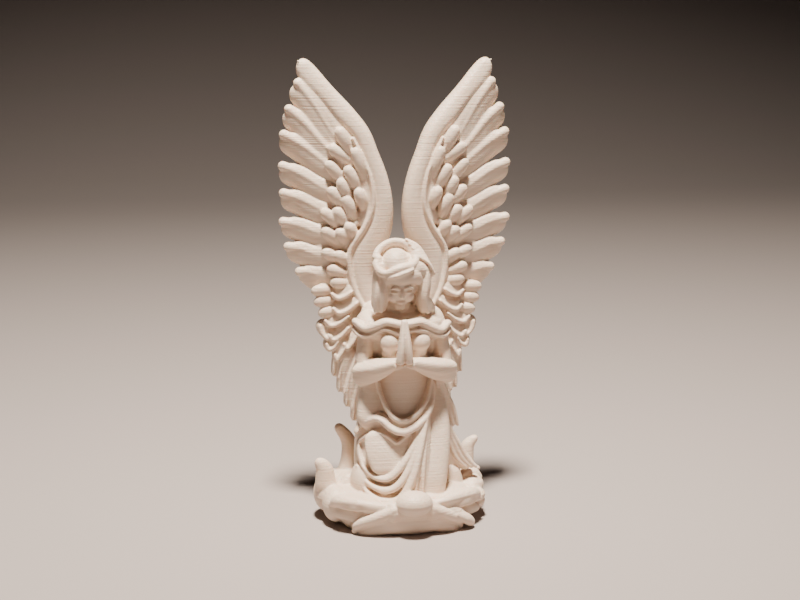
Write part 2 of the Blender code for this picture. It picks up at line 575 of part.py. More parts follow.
def side_petals(clay):
    """The broad petals at either side of the front one, with the shells behind them."""
    lip = (
        (-16.0, -7.8, 5.4), (-14.9, -10.2, 6.5), (-12.0, -12.6, 6.8), (-8.8, -14.4, 6.5),
        (-5.4, -15.2, 6.3),
    )
    stroke(clay, lip, (0.7, 1.2, 1.4, 1.4, 1.2), 1.4, Vector((-0.5, -0.8, 0.1)))
    skirt = [(x * 0.98, y + 0.3, z - 2.6) for x, y, z in lip]
    stroke(clay, skirt, (0.9, 1.6, 2.0, 2.0, 1.6), 1.4, Vector((-0.5, -0.8, 0.1)))
    top = ((-14.6, -6.2, 6.2), (-11.4, -9.8, 6.6), (-6.0, -12.6, 6.6))
    stroke(clay, top, (3.0, 4.4, 3.8), 1.4, UP, boxy=0.5)
    stroke(clay, ((-12.6, -1.6, 6.6), (-10.6, -6.0, 6.8), (-7.0, -10.0, 6.2)), (2.6, 3.4, 2.4), 1.5, UP)
    stroke(clay, ((-13.8, -6.0, 3.4), (-10.6, -9.2, 3.4), (-6.0, -11.6, 3.8)), (3.2, 3.8, 3.2), 2.8)
    ellipsoid(clay, (-15.0, -5.4, 4.6), (3.0, 4.6, 4.0))
    ellipsoid(clay, (-16.2, -0.6, 5.6), (3.2, 4.8, 4.2))
    lip = (
        (4.6, -15.2, 6.3), (8.0, -14.2, 6.5), (11.0, -12.4, 6.3), (14.6, -9.8, 5.9),
        (16.5, -7.4, 5.1),
    )
    stroke(clay, lip, (1.1, 1.4, 1.4, 1.2, 0.8), 1.4, Vector((0.5, -0.8, 0.1)))
    skirt = [(x * 0.98, y + 0.3, z - 2.6) for x, y, z in lip]
    stroke(clay, skirt, (1.6, 2.0, 2.0, 1.6, 0.9), 1.4, Vector((0.5, -0.8, 0.1)))
    top = ((14.8, -5.6, 5.8), (11.2, -9.4, 6.2), (6.0, -12.2, 6.4))
    stroke(clay, top, (3.0, 4.4, 3.8), 1.4, UP, boxy=0.5)
    stroke(clay, ((14.0, -5.6, 3.0), (10.6, -9.0, 3.2), (6.0, -11.6, 3.6)), (3.2, 3.6, 3.2), 2.8)
    ellipsoid(clay, (15.6, -2.2, 5.0), (3.0, 4.0, 3.6))
    ellipsoid(clay, (16.0, -2.6, 6.6), (2.7, 2.6, 2.2))
    ellipsoid(clay, (16.2, -5.4, 5.2), (2.3, 2.4, 1.5))
    ellipsoid(clay, (16.4, -4.0, 3.4), (2.3, 3.0, 1.9))
    stroke(clay, ((10.6, -3.4, 4.0), (11.2, -3.4, 8.0), (10.8, -3.0, 11.8)), (3.0, 2.6, 1.8), 2.0)
    rolled = ((12.8, -3.2, 5.6), (13.4, -1.6, 7.8), (15.0, -0.6, 8.9), (17.2, 0.0, 8.8), (18.6, 0.4, 7.0))
    stroke(clay, rolled, (0.6, 0.7, 0.7, 0.6), 1.6)


def curled_tips(clay):
    """The three petals that rise and curl outward behind the figure."""
    left = ((-16.8, -2.6, 6.0), (-17.0, -2.8, 9.6), (-17.3, -3.0, 12.0), (-18.9, -3.0, 14.2))
    stroke(clay, left, (2.8, 2.3, 1.9, 1.0), (2.2, 1.8, 1.4, 0.9))
    back = ((-11.4, 8.6, 5.0), (-10.2, 8.8, 11.0), (-10.4, 9.0, 14.6), (-13.1, 9.0, 18.5))
    stroke(clay, back, (2.4, 1.9, 1.7, 1.0), (2.4, 1.8, 1.4, 0.9))
    stroke(clay, ((-12.6, -2.6, 7.0), (-12.0, -2.0, 10.4), (-10.8, -1.6, 12.6)), (1.6, 1.4, 0.7), 1.6)
    right = ((16.4, 6.0, 6.0), (16.4, 6.0, 10.0), (16.8, 6.0, 13.0), (18.9, 6.0, 15.2))
    stroke(clay, right, (2.4, 1.8, 1.6, 0.7), (2.2, 1.7, 1.4, 0.8))
    stroke(clay, ((16.0, 4.0, 6.4), (17.8, 4.6, 7.8), (19.2, 5.4, 7.9)), (1.2, 0.9, 0.5), 1.0)


def outer_skin(mesh):
    """Drops every piece of the mesh but its largest one, so no cavity is left inside."""
    body = bmesh.new()
    body.from_mesh(mesh)
    body.verts.ensure_lookup_table()
    seen = [False] * len(body.verts)
    pieces = []
    for first in body.verts:
        if seen[first.index]:
            continue
        seen[first.index] = True
        piece, waiting = [], [first]
        while waiting:
            corner = waiting.pop()
            piece.append(corner)
            for edge in corner.link_edges:
                other = edge.other_vert(corner)
                if not seen[other.index]:
                    seen[other.index] = True
                    waiting.append(other)
        pieces.append(piece)
    pieces.sort(key=len)
    for piece in pieces[:-1]:
        bmesh.ops.delete(body, geom=piece, context="VERTS")
    body.to_mesh(mesh)
    body.free()


def applied(figure):
    """Makes the object's modifiers permanent."""
    graph = bpy.context.evaluated_depsgraph_get()
    made = bpy.data.meshes.new_from_object(figure.evaluated_get(graph))
    figure.modifiers.clear()
    old, figure.data = figure.data, made
    bpy.data.meshes.remove(old)


def flat_underside(mesh):
    """Cuts the mesh off at Z = 0 and closes it with a flat face."""
    body = bmesh.new()
    body.from_mesh(mesh)
    geometry = body.verts[:] + body.edges[:] + body.faces[:]
    cut = bmesh.ops.bisect_plane(
        body, geom=geometry, dist=1e-4, plane_co=(0, 0, 0), plane_no=(0, 0, -1), clear_outer=True
    )
    rim = [item for item in cut["geom_cut"] if isinstance(item, bmesh.types.BMEdge)]
    bmesh.ops.triangle_fill(body, edges=rim, use_beauty=True, use_dissolve=False)
    bmesh.ops.recalc_face_normals(body, faces=body.faces[:])
    body.to_mesh(mesh)
    body.free()


def scaled_to_size(mesh):
    """Turns hundredths of the height into metres, with the footprint centred on the origin."""
    count = len(mesh.vertices)
    places = np.empty(count * 3)
    mesh.vertices.foreach_get("co", places)
    places = places.reshape(-1, 3)
    low, high = places.min(axis=0), places.max(axis=0)
    places -= ((low[0] + high[0]) / 2, (low[1] + high[1]) / 2, low[2])
    places *= FIGURE_HEIGHT / (high[2] - low[2])
    mesh.vertices.foreach_set("co", places.ravel())
    mesh.update()


def cleared():
    """Empties the scene."""
    for item in list(bpy.data.objects):
        bpy.data.objects.remove(item, do_unlink=True)


def ivory_plastic():
    """Matt ivory printed plastic."""
    material = bpy.data.materials.new("ivory_pla")
    material.use_nodes = True
    shader = material.node_tree.nodes["Principled BSDF"]
    shader.inputs["Base Color"].default_value = (0.82, 0.72, 0.62, 1)
    shader.inputs["Roughness"].default_value = 0.6
    return material


def build():
    """Builds the figure as one object."""
    cleared()
    group = bpy.data.collections.new("angel_figure")
    bpy.context.scene.collection.children.link(group)
    clay = bmesh.new()
    drapery(clay)
    bust(clay)
    head(clay)
    petals(clay)
    for side in (-1, 1):
        wing(clay, side)
    mesh = bpy.data.meshes.new("angel_figure")
    clay.to_mesh(mesh)
    clay.free()
    figure = bpy.data.objects.new("angel_figure", mesh)
    group.objects.link(figure)
    remesh = figure.modifiers.new("One skin", "REMESH")
    remesh.mode = "VOXEL"
    remesh.voxel_size = SOLID_GRAIN
    remesh.adaptivity = 0
    smooth = figure.modifiers.new("Soft skin", "SMOOTH")
    smooth.factor = 0.5
    smooth.iterations = SKIN_SMOOTHING
    applied(figure)
    outer_skin(figure.data)
    fewer = figure.modifiers.new("Fewer faces", "DECIMATE")
    fewer.ratio = SOLID_TRIANGLES / (2 * len(figure.data.polygons))
    fewer.use_collapse_triangulate = True
    applied(figure)
    flat_underside(figure.data)
    scaled_to_size(figure.data)
    figure.data.materials.clear()
    figure.data.materials.append(ivory_plastic())


build()
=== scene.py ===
"""Looks of a small printed angel figure: one fused ivory body, and the studio that shows it.

Free-form points are in hundredths of the figure's height; the figure faces -Y.
"""

import json
import math

import bpy
import numpy as np
from mathutils import Matrix, Vector

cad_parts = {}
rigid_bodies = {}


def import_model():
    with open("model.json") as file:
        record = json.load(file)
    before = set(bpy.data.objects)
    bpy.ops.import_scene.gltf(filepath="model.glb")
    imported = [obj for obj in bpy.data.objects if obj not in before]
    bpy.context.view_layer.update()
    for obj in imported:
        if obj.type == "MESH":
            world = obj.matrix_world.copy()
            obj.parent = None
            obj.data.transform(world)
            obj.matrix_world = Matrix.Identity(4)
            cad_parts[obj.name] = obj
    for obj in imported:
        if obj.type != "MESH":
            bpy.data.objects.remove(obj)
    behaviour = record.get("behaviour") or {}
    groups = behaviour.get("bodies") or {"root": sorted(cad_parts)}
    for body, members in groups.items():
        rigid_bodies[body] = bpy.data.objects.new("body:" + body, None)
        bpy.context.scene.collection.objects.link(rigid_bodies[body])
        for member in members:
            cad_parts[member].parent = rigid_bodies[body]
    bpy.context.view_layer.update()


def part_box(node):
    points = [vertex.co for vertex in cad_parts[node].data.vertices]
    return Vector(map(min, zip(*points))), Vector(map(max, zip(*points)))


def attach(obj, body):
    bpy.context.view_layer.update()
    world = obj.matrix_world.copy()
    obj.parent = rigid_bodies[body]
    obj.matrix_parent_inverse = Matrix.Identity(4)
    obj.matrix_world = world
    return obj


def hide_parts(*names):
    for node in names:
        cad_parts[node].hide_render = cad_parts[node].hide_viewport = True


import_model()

bl_info = {
    "name": "Printed Angel Figure",
    "version": (1, 0, 0),
    "blender": (4, 5, 0),
    "location": "View3D > Sidebar > Angel",
    "description": "Models a praying angel on a ring of petals, as printed in ivory plastic",
    "category": "Add Mesh",
}

NODE = "angel_figure"
FIGURE_LOW, FIGURE_HIGH = (Vector(corner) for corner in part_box(NODE))
FIGURE_HEIGHT = FIGURE_HIGH.z - FIGURE_LOW.z
MM = 0.001

# Wing sizes, in hundredths of the height.
WING_DEPTH_ROOT = 2.0
WING_SWEEP = 0.22
WING_SWEEP_END = 23.0
WING_SHIFT = 0.3
BONE_HALF_DEPTH = 2.7
BEAD_RADIUS = 0.6
BLADE_HALF_WIDTH = 2.95
BLADE_HALF_DEPTH = 1.3
BLADE_DROP = 2.25
BLADE_TILT = 0.34
RIDGE_RADIUS = 1.1
COVERT_HALF_WIDTH = 1.35
CUP_RIM = 0.5
ROOT_LINE = 8.0

# The wing bone, as stations of (inner x, inner z, outer x, outer z) from the tip down.
BONE = (
    (19.5, 101.2, 21.5, 100.2),
    (17.0, 98.6, 21.4, 96.8),
    (13.8, 94.6, 17.5, 92.6),
    (9.4, 89.8, 13.8, 88.1),
    (6.1, 85.5, 9.9, 84.0),
    (4.1, 80.2, 8.0, 80.1),
    (2.2, 74.8, 6.1, 75.2),
    (1.1, 69.5, 5.6, 69.1),
    (1.2, 63.5, 7.4, 64.4),
    (3.2, 58.6, 10.4, 59.5),
    (4.9, 54.3, 10.5, 54.6),
    (4.6, 49.8, 9.3, 49.9),
    (3.5, 46.5, 7.4, 46.3),
)

# Long feathers, as (tip x, tip z, x and z where the ridge passes under the short feathers).
LONG_FEATHERS = (
    (21.0, 97.0, 12.9, 85.2),
    (23.3, 91.4, 15.2, 83.3),
    (24.8, 85.9, 14.8, 79.3),
    (25.3, 79.0, 15.9, 74.2),
    (25.3, 73.0, 16.0, 69.2),
    (25.6, 66.6, 16.9, 64.2),
    (24.7, 61.0, 17.5, 59.4),
    (22.4, 55.2, 17.0, 54.9),
)

# Short feathers that overlap the long ones, as (tip x, tip z, root x, root z).
COVERTS = (
    (12.5, 86.7, 9.6, 80.0),
    (14.8, 83.0, 9.6, 78.6),
    (9.0, 82.3, 6.3, 74.0),
    (15.0, 79.5, 11.0, 74.0),
    (10.9, 78.4, 7.6, 72.0),
    (12.4, 75.7, 9.8, 70.0),
    (14.6, 73.8, 11.2, 68.6),
    (8.5, 73.5, 6.6, 68.0),
    (11.2, 71.9, 8.8, 66.0),
    (13.5, 69.4, 10.4, 64.6),
    (16.2, 69.0, 12.2, 64.4),
    (10.9, 66.0, 8.7, 62.0),
    (16.2, 64.9, 12.4, 61.0),
    (13.0, 64.7, 10.4, 61.0),
    (16.4, 60.0, 12.6, 57.4),
    (13.5, 59.6, 10.4, 56.4),
    (15.6, 56.2, 10.4, 54.0),
    (15.2, 53.0, 10.2, 52.2),
    (19.4, 50.8, 14.2, 51.0),
    (18.9, 48.3, 14.0, 48.6),
    (18.0, 45.7, 13.4, 46.4),
)

# Drooping feathers with a raised rim round the tip, as the (x, z) points of that rim.
CUPS = (
    ((14.9, 49.9), (13.5, 48.7), (12.0, 49.1), (10.2, 50.4)),
    ((14.6, 46.6), (13.3, 45.4), (11.5, 45.9), (9.0, 48.0)),
    ((16.4, 43.9), (15.0, 42.5), (13.1, 43.1), (10.8, 45.0)),
    ((15.6, 40.6), (14.4, 39.3), (12.6, 40.3), (10.9, 42.4)),
    ((17.3, 42.8), (17.0, 41.0), (15.8, 39.6), (14.6, 40.4)),
    ((12.3, 38.7), (11.4, 37.4), (10.0, 39.0), (8.8, 41.2)),
    ((16.0, 38.8), (15.5, 37.1), (14.3, 37.6), (13.2, 39.4)),
    ((14.2, 36.3), (13.7, 34.8), (12.8, 36.0), (11.5, 38.2)),
)

# Long feathers that hang beside the robe, as (tip x, tip z, root x, root z, half width).
LOW_FEATHERS = (
    (14.0, 30.6, 11.4, 40.0, 1.5),
    (12.8, 27.0, 10.0, 38.0, 1.6),
    (11.2, 23.6, 8.2, 35.0, 1.7),
    (9.8, 20.4, 6.8, 32.0, 1.6),
)

# The robe, as rings of (z, half width, front y, back y).
ROBE = (
    (2.0, 9.5, -11.5, 7.5),
    (8.0, 10.2, -12.0, 8.0),
    (14.0, 10.4, -11.2, 8.0),
    (20.0, 10.0, -9.8, 7.0),
    (24.0, 9.2, -8.8, 6.0),
    (28.0, 7.9, -8.2, 5.0),
    (32.0, 6.8, -7.8, 4.2),
    (36.0, 6.2, -7.2, 3.8),
    (40.0, 6.4, -7.0, 3.8),
    (44.0, 7.0, -6.6, 3.8),
    (48.0, 4.6, -4.5, 3.0),
)

# The petal base, as rings of (z, half width, front y, back y).
BASE = (
    (-2.5, 12.4, -12.0, 12.6),
    (0.0, 13.8, -13.6, 14.0),
    (2.0, 15.0, -14.0, 15.0),
    (4.5, 15.8, -14.4, 16.0),
    (6.5, 15.8, -14.4, 16.0),
    (8.0, 13.6, -12.8, 13.6),
    (8.8, 9.0, -9.0, 9.0),
)

# Plain petals at the sides and back, as (angle from the front in degrees, reach, lip height).
PETALS = (
    (-86, 17.8, 7.6),
    (92, 17.4, 7.4),
    (-122, 17.6, 7.4),
    (126, 18.0, 7.4),
    (-155, 18.4, 7.8),
    (158, 18.6, 7.8),
    (180, 19.4, 8.2),
)
ROBE_BACK_SHARE = 0.62
FACE_BOW = 24.0

# Folds of the robe's front, as ((x, z) points, half width, how far they stand out).
FOLDS = (
    (
        ((-9.9, 15.2), (-9, 13.2), (-7, 11.7), (-4.3, 11.7), (-1.9, 13.8), (1, 18), (3.4, 24)),
        0.7, 0.8,
    ),
    (
        ((-10.2, 12.8), (-8.9, 10.6), (-6, 9.2), (-3.5, 9.5), (-1.2, 11.6), (1.4, 16.5), (4, 24.5)),
        0.8, 1.0,
    ),
    (
        ((-9.8, 10.2), (-8.3, 8.1), (-4.9, 6.8), (-2, 7.5), (0.6, 11.4), (2.6, 17.5), (4.7, 25)),
        0.9, 1.3,
    ),
    (((1.2, 6.0), (1.9, 13.2), (2.8, 17.5), (3.7, 22.4), (5.0, 27.0)), 0.7, 1.0),
    (((3.0, 6.0), (3.3, 13.2), (3.9, 18.5), (4.7, 24.0), (5.6, 29.0)), 0.6, 1.0),
)

FRONT = Vector((0, -1, 0))
UP = Vector((0, 0, 1))

# The studio: lights as (name, place, size, power, spread in degrees, colour), sensor in mm.
LIGHTS = (
    ("top_light", (-0.03, -0.12, 0.6), 0.07, 4.4, 100, "#fff4e6"),
    ("fill_light", (0.3, -0.4, 0.2), 0.3, 0.09, 120, "#ffe0d4"),
)
LIT_POINT = (0, 0, 0.05)
AIR_COLOUR = "#efe4de"
AIR_STRENGTH = 0.03
SENSOR_WIDTH = 36.0


def along(points, shares):
    """Points on the smooth line through the given ones, at shares of its length."""
    points = np.asarray(points, float)
    if points.ndim == 1:
        points = points[:, None]
    if len(points) == 1:
        points = np.repeat(points, 2, axis=0)
    steps = np.linalg.norm(np.diff(points, axis=0), axis=1)
    if points.shape[1] == 1:
        steps = np.ones(len(points) - 1)
    knots = np.concatenate(([0.0], np.cumsum(steps))) / steps.sum()
    slopes = np.empty_like(points)
    slopes[1:-1] = (points[2:] - points[:-2]) / (knots[2:] - knots[:-2])[:, None]
    slopes[0] = (points[1] - points[0]) / (knots[1] - knots[0])
    slopes[-1] = (points[-1] - points[-2]) / (knots[-1] - knots[-2])
    shares = np.clip(np.asarray(shares, float), 0, 1)
    index = np.clip(np.searchsorted(knots, shares, side="right") - 1, 0, len(knots) - 2)
    span = (knots[index + 1] - knots[index])[:, None]
    u = (shares - knots[index])[:, None] / span
    start, end = points[index], points[index + 1]
    return (
        (2 * u**3 - 3 * u**2 + 1) * start
        + (u**3 - 2 * u**2 + u) * span * slopes[index]
        + (3 * u**2 - 2 * u**3) * end
        + (u**3 - u**2) * span * slopes[index + 1]
    )


def unit(rows):
    """The same vectors, each made one long."""
    return rows / np.maximum(np.linalg.norm(rows, axis=1, keepdims=True), 1e-9)


def deselected():
    """Leaves nothing selected, so that an operator acts only on what it is given."""
    for item in bpy.context.selected_objects:
        item.select_set(False)


def active(item):
    """Selects one object alone and makes it the active one."""
    deselected()
    item.select_set(True)
    bpy.context.view_layer.objects.active = item


def ball(segments, rings):
    """A new unit ball to be stretched into a part of the figure."""
    bpy.ops.mesh.primitive_uv_sphere_add(segments=segments, ring_count=rings, radius=1)
    return bpy.context.object


def corners_of(item):
    """The object's vertices as rows of x, y, z."""
    places = np.empty(len(item.data.vertices) * 3)
    item.data.vertices.foreach_get("co", places)
    return places.reshape(-1, 3)


def move_corners(item, places):
    """Puts the object's vertices at these places."""
    item.data.vertices.foreach_set("co", np.ascontiguousarray(places, float).ravel())
    item.data.update()


def stroke(clay, spine, half_width, half_depth, face=FRONT, blunt=1.0, boxy=1.0):
    """A rounded body drawn along a spine: a ball stretched over it, its ends closed round.

    half_width is measured across the spine and half_depth along face; each is one value or
    a profile spread evenly from start to end. blunt sets how far the round ends reach, and
    boxy below 1 squares the section.
    """
    sizes = bpy.context.scene.angel_sizes
    piece = ball(sizes.stroke_segments, sizes.stroke_rings)
    unit_ball = corners_of(piece)
    shares = (1 + unit_ball[:, 2]) / 2
    centres = along(spine, shares)
    ahead = along(spine, np.minimum(shares + 0.01, 1))
    behind = along(spine, np.maximum(shares - 0.01, 0))
    tangents = unit(ahead - behind)
    faces = np.tile(np.array(face, float), (len(unit_ball), 1))
    across = unit(np.cross(tangents, faces))
    faces = unit(np.cross(across, tangents))
    widths = along(np.atleast_1d(half_width), shares)[:, 0]
    depths = along(np.atleast_1d(half_depth), shares)[:, 0]
    length = np.linalg.norm(np.diff(np.asarray(spine, float), axis=0), axis=1).sum()
    reach = np.minimum(shares, 1 - shares) * length
    turn = np.clip(1 - reach / np.maximum(blunt * widths, 1e-6), 0, 1)
    closing = np.sqrt(1 - turn**2)
    rim = np.hypot(unit_ball[:, 0], unit_ball[:, 1])[:, None]
    section = np.where(rim < 1e-6, 0, unit_ball[:, :2] / np.maximum(rim, 1e-9))
    section = np.sign(section) * np.abs(section) ** boxy
    sideways = section[:, 0] * widths * closing
    outward = section[:, 1] * depths * closing
    move_corners(piece, centres + across * sideways[:, None] + faces * outward[:, None])
    clay.append(piece)


def ellipsoid(clay, centre, half_sizes, turn_x=0.0):
    """A ball stretched to three half sizes and tipped about X by turn_x degrees."""
    piece = ball(48, 32)
    turn = np.array(Matrix.Rotation(math.radians(turn_x), 3, "X"))
    move_corners(piece, corners_of(piece) * half_sizes @ turn.T + centre)
    clay.append(piece)


def loft(clay, rings):
    """A body of oval rings (z, half width, front y, back y), closed at both ends."""
    sides, levels = 72, 80
    bpy.ops.mesh.primitive_grid_add(x_subdivisions=sides, y_subdivisions=levels, size=2)
    piece = bpy.context.object
    flat = corners_of(piece)
    angles = (flat[:, 0] + 1) * math.pi
    z, half, front, back = along(rings, (flat[:, 1] + 1) / 2).T
    x = half * np.cos(angles)
    y = (front + back) / 2 + (back - front) / 2 * np.sin(angles)
    move_corners(piece, np.stack((x, y, z), axis=1))
    bpy.ops.object.mode_set(mode="EDIT")
    bpy.ops.mesh.select_all(action="SELECT")
    bpy.ops.mesh.remove_doubles(threshold=1e-4)
    bpy.ops.mesh.select_all(action="DESELECT")
    bpy.ops.mesh.select_non_manifold()
    bpy.ops.mesh.fill_holes(sides=0)
    bpy.ops.object.mode_set(mode="OBJECT")
    clay.append(piece)


def robe_front(x, z):
    """The robe's front y at this width and height."""
    heights = [ring[0] for ring in ROBE]
    half, front, back = (np.interp(z, heights, [r[i] for r in ROBE]) for i in (1, 2, 3))
    share = min(abs(x) / half, 0.97)
    return (front + back) / 2 - (back - front) / 2 * math.sqrt(1 - share**2)


def on_robe(points, lift):
    """The given (x, z) points laid on the robe's front, this far out of it."""
    return [(x, robe_front(x, z) - lift, z) for x, z in points]


def wing_y(x):
    """How far back the wing's front surface lies at this distance from the middle."""
    return WING_DEPTH_ROOT + WING_SWEEP * min(abs(x), WING_SWEEP_END)


def on_wing(side, points, lift):
    """The given (x, z) points laid on one wing, this far in front of its surface."""
    return [(side * x + WING_SHIFT, wing_y(x) - lift, z) for x, z in points]


def run_and_down(tip, root):
    """The way from a feather's tip to its root, and the way square to it that points down."""
    run = (root - tip) / np.linalg.norm(root - tip)
    down = np.array((-run[1], run[0]))
    return run, down if down[1] < 0 else -down


def feather(clay, side, tip, under):
    """A long feather: a blade thick along its upper edge, which leans forward over the next."""
    tip, under = np.array(tip), np.array(under)
    reach = (tip[0] - ROOT_LINE) / (tip[0] - under[0])
    root = tip + (under - tip) * reach
    run, down = run_and_down(tip, root)
    middle = (tip + under) / 2 - down * 0.4
    blade = [tip + down * (BLADE_DROP - 0.2) + run * 0.9, middle + down * BLADE_DROP]
    blade += [under + down * BLADE_DROP, root + down * (BLADE_DROP - 0.6)]
    face = Vector((side * down[0] * BLADE_TILT, -1, down[1] * BLADE_TILT))
    widths = np.array((0.85, 1.0, 1.0, 0.8)) * BLADE_HALF_WIDTH
    stroke(clay, on_wing(side, blade, -1.1), widths, BLADE_HALF_DEPTH, face)
    ridge = [place + down * RIDGE_RADIUS for place in (tip, middle, under, root)]
    sizes = (RIDGE_RADIUS, RIDGE_RADIUS, RIDGE_RADIUS, RIDGE_RADIUS * 0.85, RIDGE_RADIUS * 0.7)
    stroke(clay, on_wing(side, ridge, -0.7), sizes, (1.2, 1.2, 1.1, 1.0))


def short_feather(clay, side, tip, root):
    """A short feather: a plump tip that thins and sinks towards its root."""
    tip, root = np.array(tip), np.array(root)
    run, down = run_and_down(tip, root)
    half = COVERT_HALF_WIDTH
    middle = (tip + root) / 2 - down * 0.2
    path = [tip + down * half * 0.6 + run * 0.2, middle + down * half * 0.6]
    path.append(root + down * half * 0.5)
    lifts = (1.0, 0.4, -1.2)
    placed = [on_wing(side, [point], lift)[0] for point, lift in zip(path, lifts)]
    face = Vector((side * down[0] * BLADE_TILT, -1, down[1] * BLADE_TILT))
    stroke(clay, placed, (half * 0.8, half, half * 0.9, half * 0.6), (0.9, 1.2, 1.0), face)


def cup(clay, side, rim):
    """A drooping feather: a hollow face inside a raised rim."""
    rim = np.array(rim)
    lips = (CUP_RIM * 0.8, CUP_RIM * 1.15, CUP_RIM, CUP_RIM * 0.7)
    stroke(clay, on_wing(side, rim, 0.9), lips, 0.9)
    inner = rim + (-0.5, 0.9)
    stroke(clay, on_wing(side, inner, -0.3), (1.2, 1.6, 1.5, 1.2), 1.4)


def wing(clay, side):
    """One raised wing: its bone, bed, long feathers, short feathers and drooping feathers."""
    stations = np.array(BONE)
    middle = (stations[:, :2] + stations[:, 2:]) / 2
    widths = np.linalg.norm(stations[:, 2:] - stations[:, :2], axis=1) / 2
    slimming = np.interp(np.linspace(0, 1, len(widths)), (0, 0.3, 1), (0.6, 1, 1))
    depths = BONE_HALF_DEPTH * slimming
    spine = on_wing(side, middle, -BONE_HALF_DEPTH * 0.75)
    lengths = np.linalg.norm(np.diff(np.array(spine), axis=0), axis=1)
    marks = np.concatenate(([0], np.cumsum(lengths))) / lengths.sum()
    even = np.linspace(0, 1, 25)
    stroke(clay, spine, np.interp(even, marks, widths), np.interp(even, marks, depths), boxy=0.8)
    bead = [(row[2] + 0.1, row[3]) for row in BONE[4:]]
    stroke(clay, on_wing(side, bead, 0.3), (0.3, BEAD_RADIUS, BEAD_RADIUS), 0.9)
    bed = (
        (12.6, 88.0), (10.8, 82.0), (10.2, 76.0), (10.6, 69.0), (12.4, 62.0),
        (12.8, 55.0), (11.8, 47.0), (9.6, 38.0), (8.2, 27.0),
    )
    bed_widths = (1.6, 3.4, 5.0, 5.6, 5.4, 4.8, 4.8, 4.0, 1.8)
    stroke(clay, on_wing(side, bed, -1.8), bed_widths, 1.3)
    web = [(row[2] + 0.3, row[3] - 0.6) for row in BONE[1:9]]
    stroke(clay, on_wing(side, web, -1.3), (1.2, 2.4, 2.8, 2.8, 2.2), 1.6)
    for tip_x, tip_z, under_x, under_z in LONG_FEATHERS:
        feather(clay, side, (tip_x, tip_z), (under_x, under_z))
    for tip_x, tip_z, root_x, root_z in COVERTS:
        short_feather(clay, side, (tip_x, tip_z), (root_x, root_z))
    for rim in CUPS:
        cup(clay, side, rim)
    for tip_x, tip_z, root_x, root_z, half in LOW_FEATHERS:
        middle = ((tip_x + root_x) / 2 + 0.4, (tip_z + root_z) / 2)
        path = ((tip_x, tip_z), middle, (root_x, root_z))
        stroke(clay, on_wing(side, path, -0.4), (half * 0.7, half, half), (1.0, 1.5, 1.7))
        for edge in (-0.75, 0.65):
            shares = (0.5, 1, 1.2)
            vein = [(x + edge * half * s, z + edge * 0.4) for (x, z), s in zip(path, shares)]
            stroke(clay, on_wing(side, vein, 0.5), (0.25, 0.4, 0.3), 0.8)


def on_face(x, up, out):
    """The point this far across, up and out from the middle of the bowed face."""
    bow = math.radians(FACE_BOW)
    y = -5.6 - out * math.cos(bow) - up * math.sin(bow)
    z = 52.6 - out * math.sin(bow) + up * math.cos(bow)
    return (x - 0.8, y, z)


